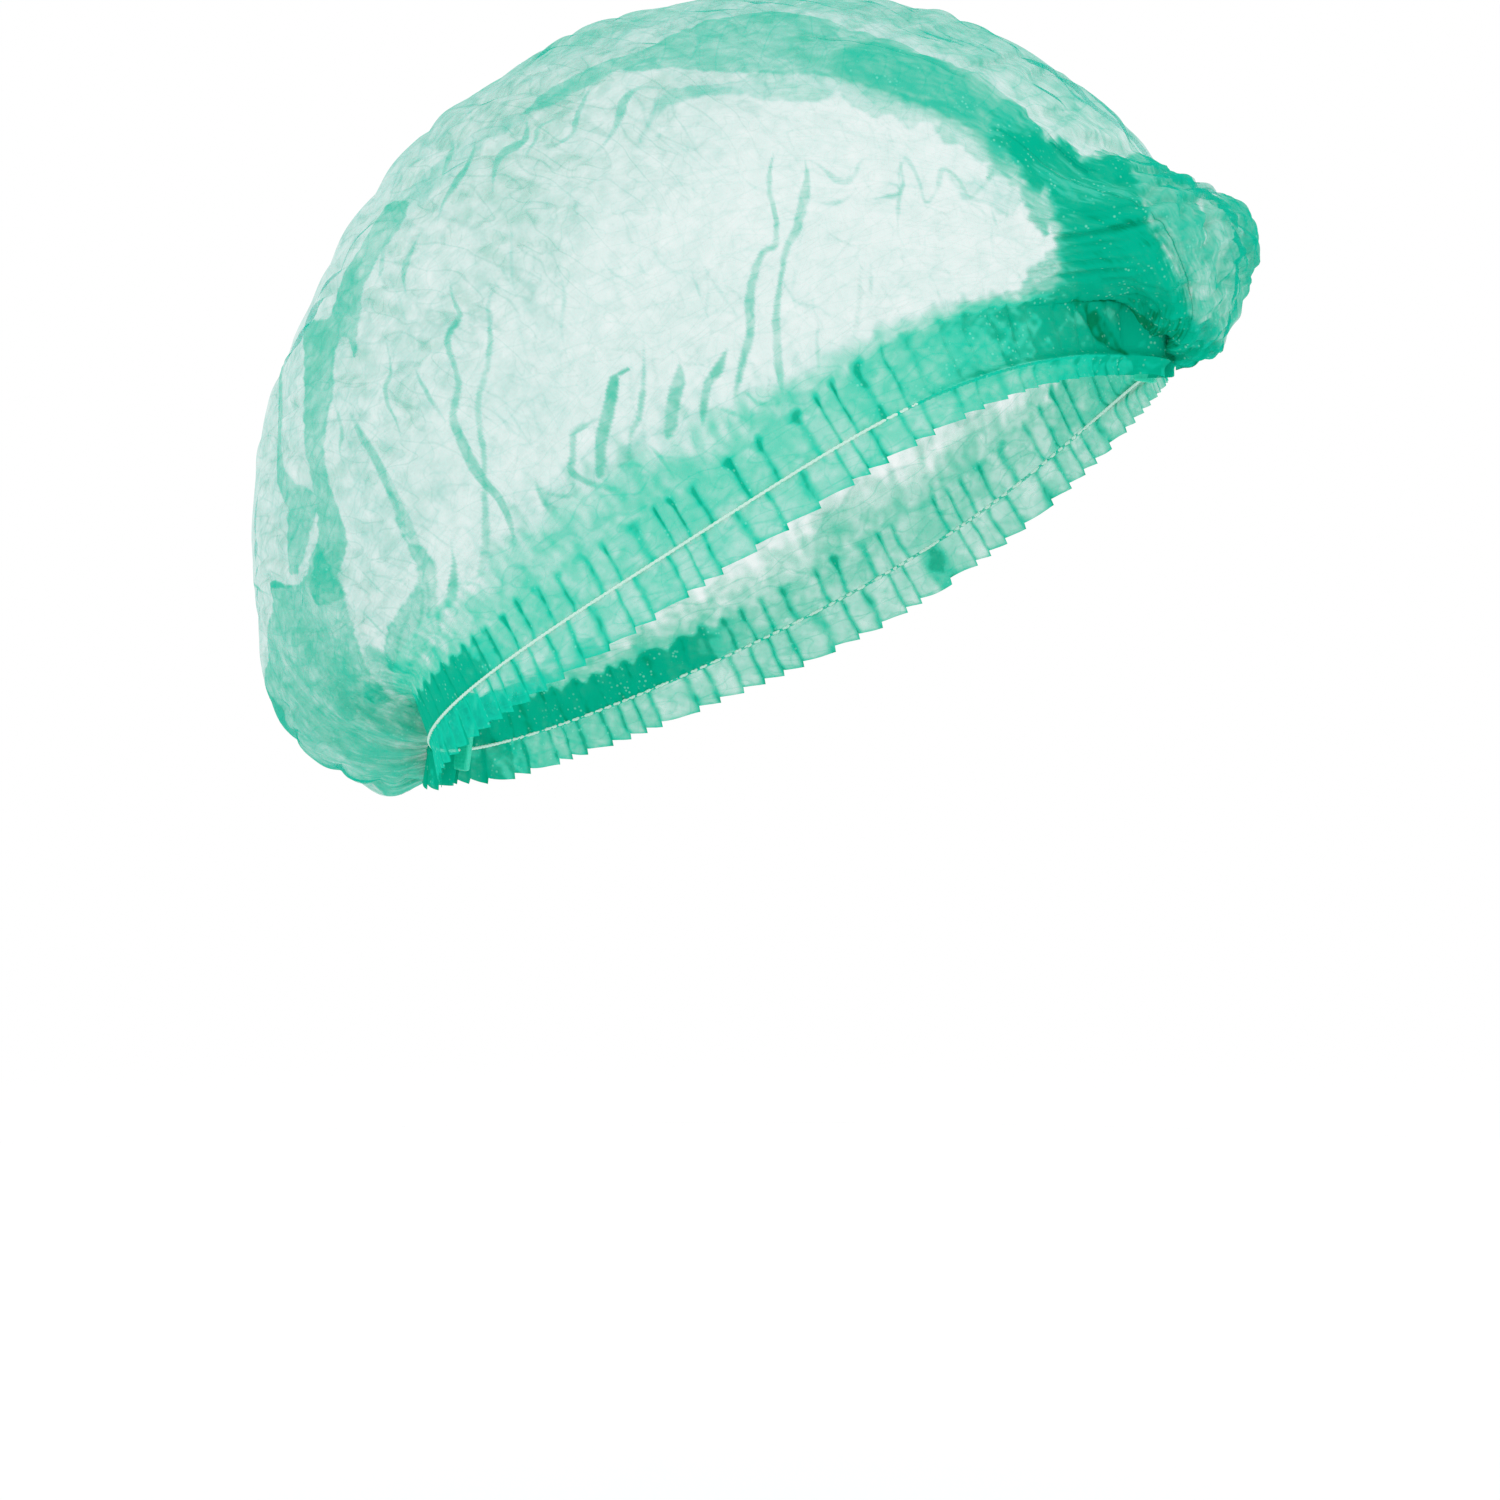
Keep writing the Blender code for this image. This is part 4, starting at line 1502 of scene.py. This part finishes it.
    def _stray_creases(self, half: HalfSheet, seed: int) -> None:
        """Press many short creases, mostly running up from the hem.

        Args:
            half: The half that gets them.
            seed: Seed of their places and sizes.
        """
        sizes, rng = self.crumple, np.random.default_rng(seed + 9)
        for _ in range(sizes.stray_count):
            place, course = rng.uniform(*sizes.stray_places), rng.uniform(*sizes.stray_courses)
            steps = int(rng.integers(2, 5))
            lean = rng.normal(0.0, sizes.stray_lean)
            route = [(place, course)]
            for _ in range(steps):
                place += lean / 2.0 + rng.normal(0.0, sizes.stray_jitter)
                course = min(course + rng.uniform(*sizes.stray_step), 0.98)
                route.append((place, course))
            mirrored = tuple((a, b if half.side is Side.RIGHT else 2.0 - b) for a, b in route)
            halves = (sizes.stray_end, rng.uniform(*sizes.stray_half), sizes.stray_end)
            plies = rng.uniform(*sizes.stray_plies) * (0.6 if course > 0.5 else 1.0)
            half.press(Fold(mirrored, halves=halves, lift=0.05, plies=plies))

    def pieces(self) -> list[bpy.types.Object]:
        """Build and dress every piece of the sheet.

        Returns:
            The pieces.
        """
        crown_material = self.crown_finish.make()
        lit_hem_material = self.lit_hem_finish.make()
        built = []
        for side in Side:
            half = self.folded_half(side)
            points = half.points()
            plies = half.plies(points)
            cloth = np.stack([half.along_cloth, half.across_cloth], axis=-1) * METRES
            rim = half.hem_rows - 1 + half.crown_rows // self.crown_rows_of_hem
            last_row = half.hem_rows + half.crown_rows - 2
            word = side.name.lower()
            parts = [(f"hem_{word}_cloth", 0, rim, "hem_nonwoven", f"hem_{word}", lit_hem_material,
                      self.hem_flat)]
            widths = self.strip_widths[side]
            for k, width in enumerate(widths):
                first = rim + (last_row - rim) * k // len(widths)
                last = rim + (last_row - rim) * (k + 1) // len(widths)
                parts.append((f"crown_{word}_strip_{k + 1}", first, last, "nonwoven", "crown",
                              crown_material, (width, self.hem_flat[1])))
            for name, first, last, slot, node, material, flat in parts:
                rows = slice(first, last + 1)
                faces = grid_faces(last + 1 - first, half.columns, flip=side is Side.RIGHT)
                piece = mesh_object(name, points[rows].reshape(-1, 3), faces, material,
                                    {"plies": plies[rows]}, cloth[rows].reshape(-1, 2))
                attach(piece, BODY)
                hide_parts(node)
                area = sum(p.area for p in piece.data.polygons)
                log.info("%s: %d faces, %.4f m2", name, len(faces), area)
                built.append(piece)
        return built


@dataclass
class ElasticThreads:
    """The two covered elastics sewn along the hems."""

    form: CrownForm = field(default_factory=CrownForm)
    finish: PatternedFinish = field(default_factory=lambda: COVERED_ELASTIC)
    stand: float = 0.42
    core: float = 0.36
    bead: float = 0.06
    bead_pitch: float = 1.35
    half_gap: float = 1.9
    rings: int = 1200
    sides: int = 8

    def pieces(self) -> list[bpy.types.Object]:
        """Build and dress both threads.

        Returns:
            The threads.
        """
        material = self.finish.make()
        built = []
        for side in Side:
            name = f"elastic_{side.name.lower()}"
            piece = self._thread(f"{name}_thread", side, material)
            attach(piece, BODY)
            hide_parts(name)
            log.info("%s: %d faces", piece.name, len(piece.data.polygons))
            built.append(piece)
        return built

    def _thread(self, name: str, side: Side, material: Material) -> bpy.types.Object:
        """Build one thread as a closed tube with the beads of its winding.

        Args:
            name: The thread's name.
            side: Which half of the cap it is sewn to.
            material: Its material.

        Returns:
            The thread.
        """
        first = self.form.loop.start(self.half_gap)
        place = np.linspace(first, 1.0 - first, self.rings)
        value = np.full(place.shape, side.value)
        _, up, outward = self.form.loop.directions(place, value)
        middle = self.form.loop.points(place, value) + outward * self.stand
        run = np.concatenate([[0.0], np.cumsum(np.linalg.norm(np.diff(middle, axis=0), axis=1))])
        turn = np.linspace(0.0, 2.0 * math.pi, self.sides, endpoint=False)
        winding = 2.0 * math.pi * run[:, None] / self.bead_pitch + turn[None, :]
        radius = self.core + self.bead * np.cos(winding)
        ends = np.minimum(np.arange(self.rings), np.arange(self.rings)[::-1])
        radius *= np.where(ends == 0, 0.02, 1.0)[:, None]
        points = (middle[:, None, :]
                  + up[:, None, :] * (radius * np.cos(turn))[..., None]
                  + outward[:, None, :] * (radius * np.sin(turn))[..., None])
        index = np.arange(self.rings * self.sides).reshape(self.rings, self.sides)
        after = np.roll(index, -1, axis=1)
        faces = np.stack([index[:-1], after[:-1], after[1:], index[1:]], axis=-1).reshape(-1, 4)
        caps = [index[0, [0, 1, 2, 3]], index[-1, [3, 2, 1, 0]]]
        faces = np.concatenate([faces, np.array(caps)])
        if side is Side.RIGHT:
            faces = faces[:, ::-1]
        return mesh_object(name, points.reshape(-1, 3), faces, material)


@dataclass(frozen=True)
class Welds:
    """The fused ends of the pleats over the forehead and at the nape."""

    finish: PatternedFinish = field(default_factory=lambda: LIGHTENED_FUSED_SPUNBOND)

    def dress(self) -> None:
        """Give both welds of the CAD model their fused finish, its tones painted lighter against their
        shade.
        """
        material = self.finish.make()
        for name in ("front_weld", "rear_weld"):
            node = bpy.data.objects[name]
            node.data.materials.clear()
            node.data.materials.append(material)
            log.info("%s: dressed", name)


@dataclass(frozen=True)
class Studio:
    """A pale floor, soft white light and the camera of the photograph."""

    camera_turn: float = -65.0
    camera_rise: float = 3.5
    distance: float = 1.150
    half_frame: float = 0.17625
    aim_right: float = -0.003525
    aim_up: float = -0.04465
    sensor: float = 36.0
    room: float = 1.1
    floor_level: float = -0.25
    floor_radius: float = 1.2
    floor_sides: int = 96
    floor_tone: str = "#F9F9F9"
    fade_from: float = 0.25

    def make(self) -> None:
        """Build the camera, the floor and the light."""
        self._camera()
        self._floor()
        self._light()

    def _camera(self) -> None:
        """Place the camera where the photograph was taken from."""
        turn, rise = math.radians(self.camera_turn), math.radians(self.camera_rise)
        back = Vector((math.sin(turn) * math.cos(rise), -math.cos(turn) * math.cos(rise),
                       math.sin(rise)))
        right = Vector((0.0, 0.0, 1.0)).cross(back).normalized()
        up = back.cross(right)
        target = right * self.aim_right + up * self.aim_up
        data = bpy.data.cameras.new("camera")
        data.sensor_width = self.sensor
        data.lens = self.sensor / 2.0 * self.distance / self.half_frame
        camera = bpy.data.objects.new("camera", data)
        rotation = Matrix((right, up, back)).transposed().to_4x4()
        camera.matrix_world = Matrix.Translation(target + back * self.distance) @ rotation
        bpy.context.scene.collection.objects.link(camera)
        bpy.context.scene.camera = camera

    def _floor(self) -> None:
        """Lay a pale floor that fades out before its edge."""
        bpy.ops.object.select_all(action="DESELECT")
        bpy.ops.mesh.primitive_circle_add(vertices=self.floor_sides, radius=self.floor_radius,
                                          fill_type="NGON", location=(0.0, 0.0, self.floor_level))
        floor = bpy.context.object
        floor.name = "pale_floor"
        material = bpy.data.materials.new("pale_board")
        tree = empty_tree(material)
        place = add_node(tree, "TexCoord", output="Object")
        far = add_node(tree, "VectorMath", {"operation": "LENGTH"}, {0: place}, "Value")
        fade = add_node(tree, "MapRange", SMOOTH, {
            "Value": far, "From Min": self.fade_from, "From Max": self.floor_radius * 0.95})
        board = add_node(tree, "BsdfDiffuse", None, {"Color": hex_colour(self.floor_tone)})
        clear = add_node(tree, "BsdfTransparent")
        faded = add_node(tree, "MixShader", None, {0: fade, 1: board, 2: clear})
        add_node(tree, "OutputMaterial", None, {"Surface": faded})
        floor.data.materials.append(material)

    def _light(self) -> None:
        """Light the cap evenly from all round, a little brighter than the white the camera sees."""
        world = bpy.data.worlds.new("white_room")
        tree = empty_tree(world)
        seen, lighting = (add_node(tree, "Background", None, {"Color": (1.0, 1.0, 1.0, 1.0),
                                                              "Strength": strength})
                          for strength in (1.0, self.room))
        ray = add_node(tree, "LightPath", output="Is Camera Ray")
        both = add_node(tree, "MixShader", None, {0: ray, 1: lighting, 2: seen})
        add_node(tree, "OutputWorld", None, {"Surface": both})
        scene = bpy.context.scene
        scene.world = world
        scene.view_settings.view_transform = "Standard"
        scene.cycles.transparent_max_bounces = 64


def main() -> None:
    """Build the cap and its studio."""
    logging.basicConfig(level=logging.INFO, format="%(message)s")
    Studio().make()
    CapCloth().pieces()
    ElasticThreads().pieces()
    Welds().dress()


if __name__ == "__main__":
    main()
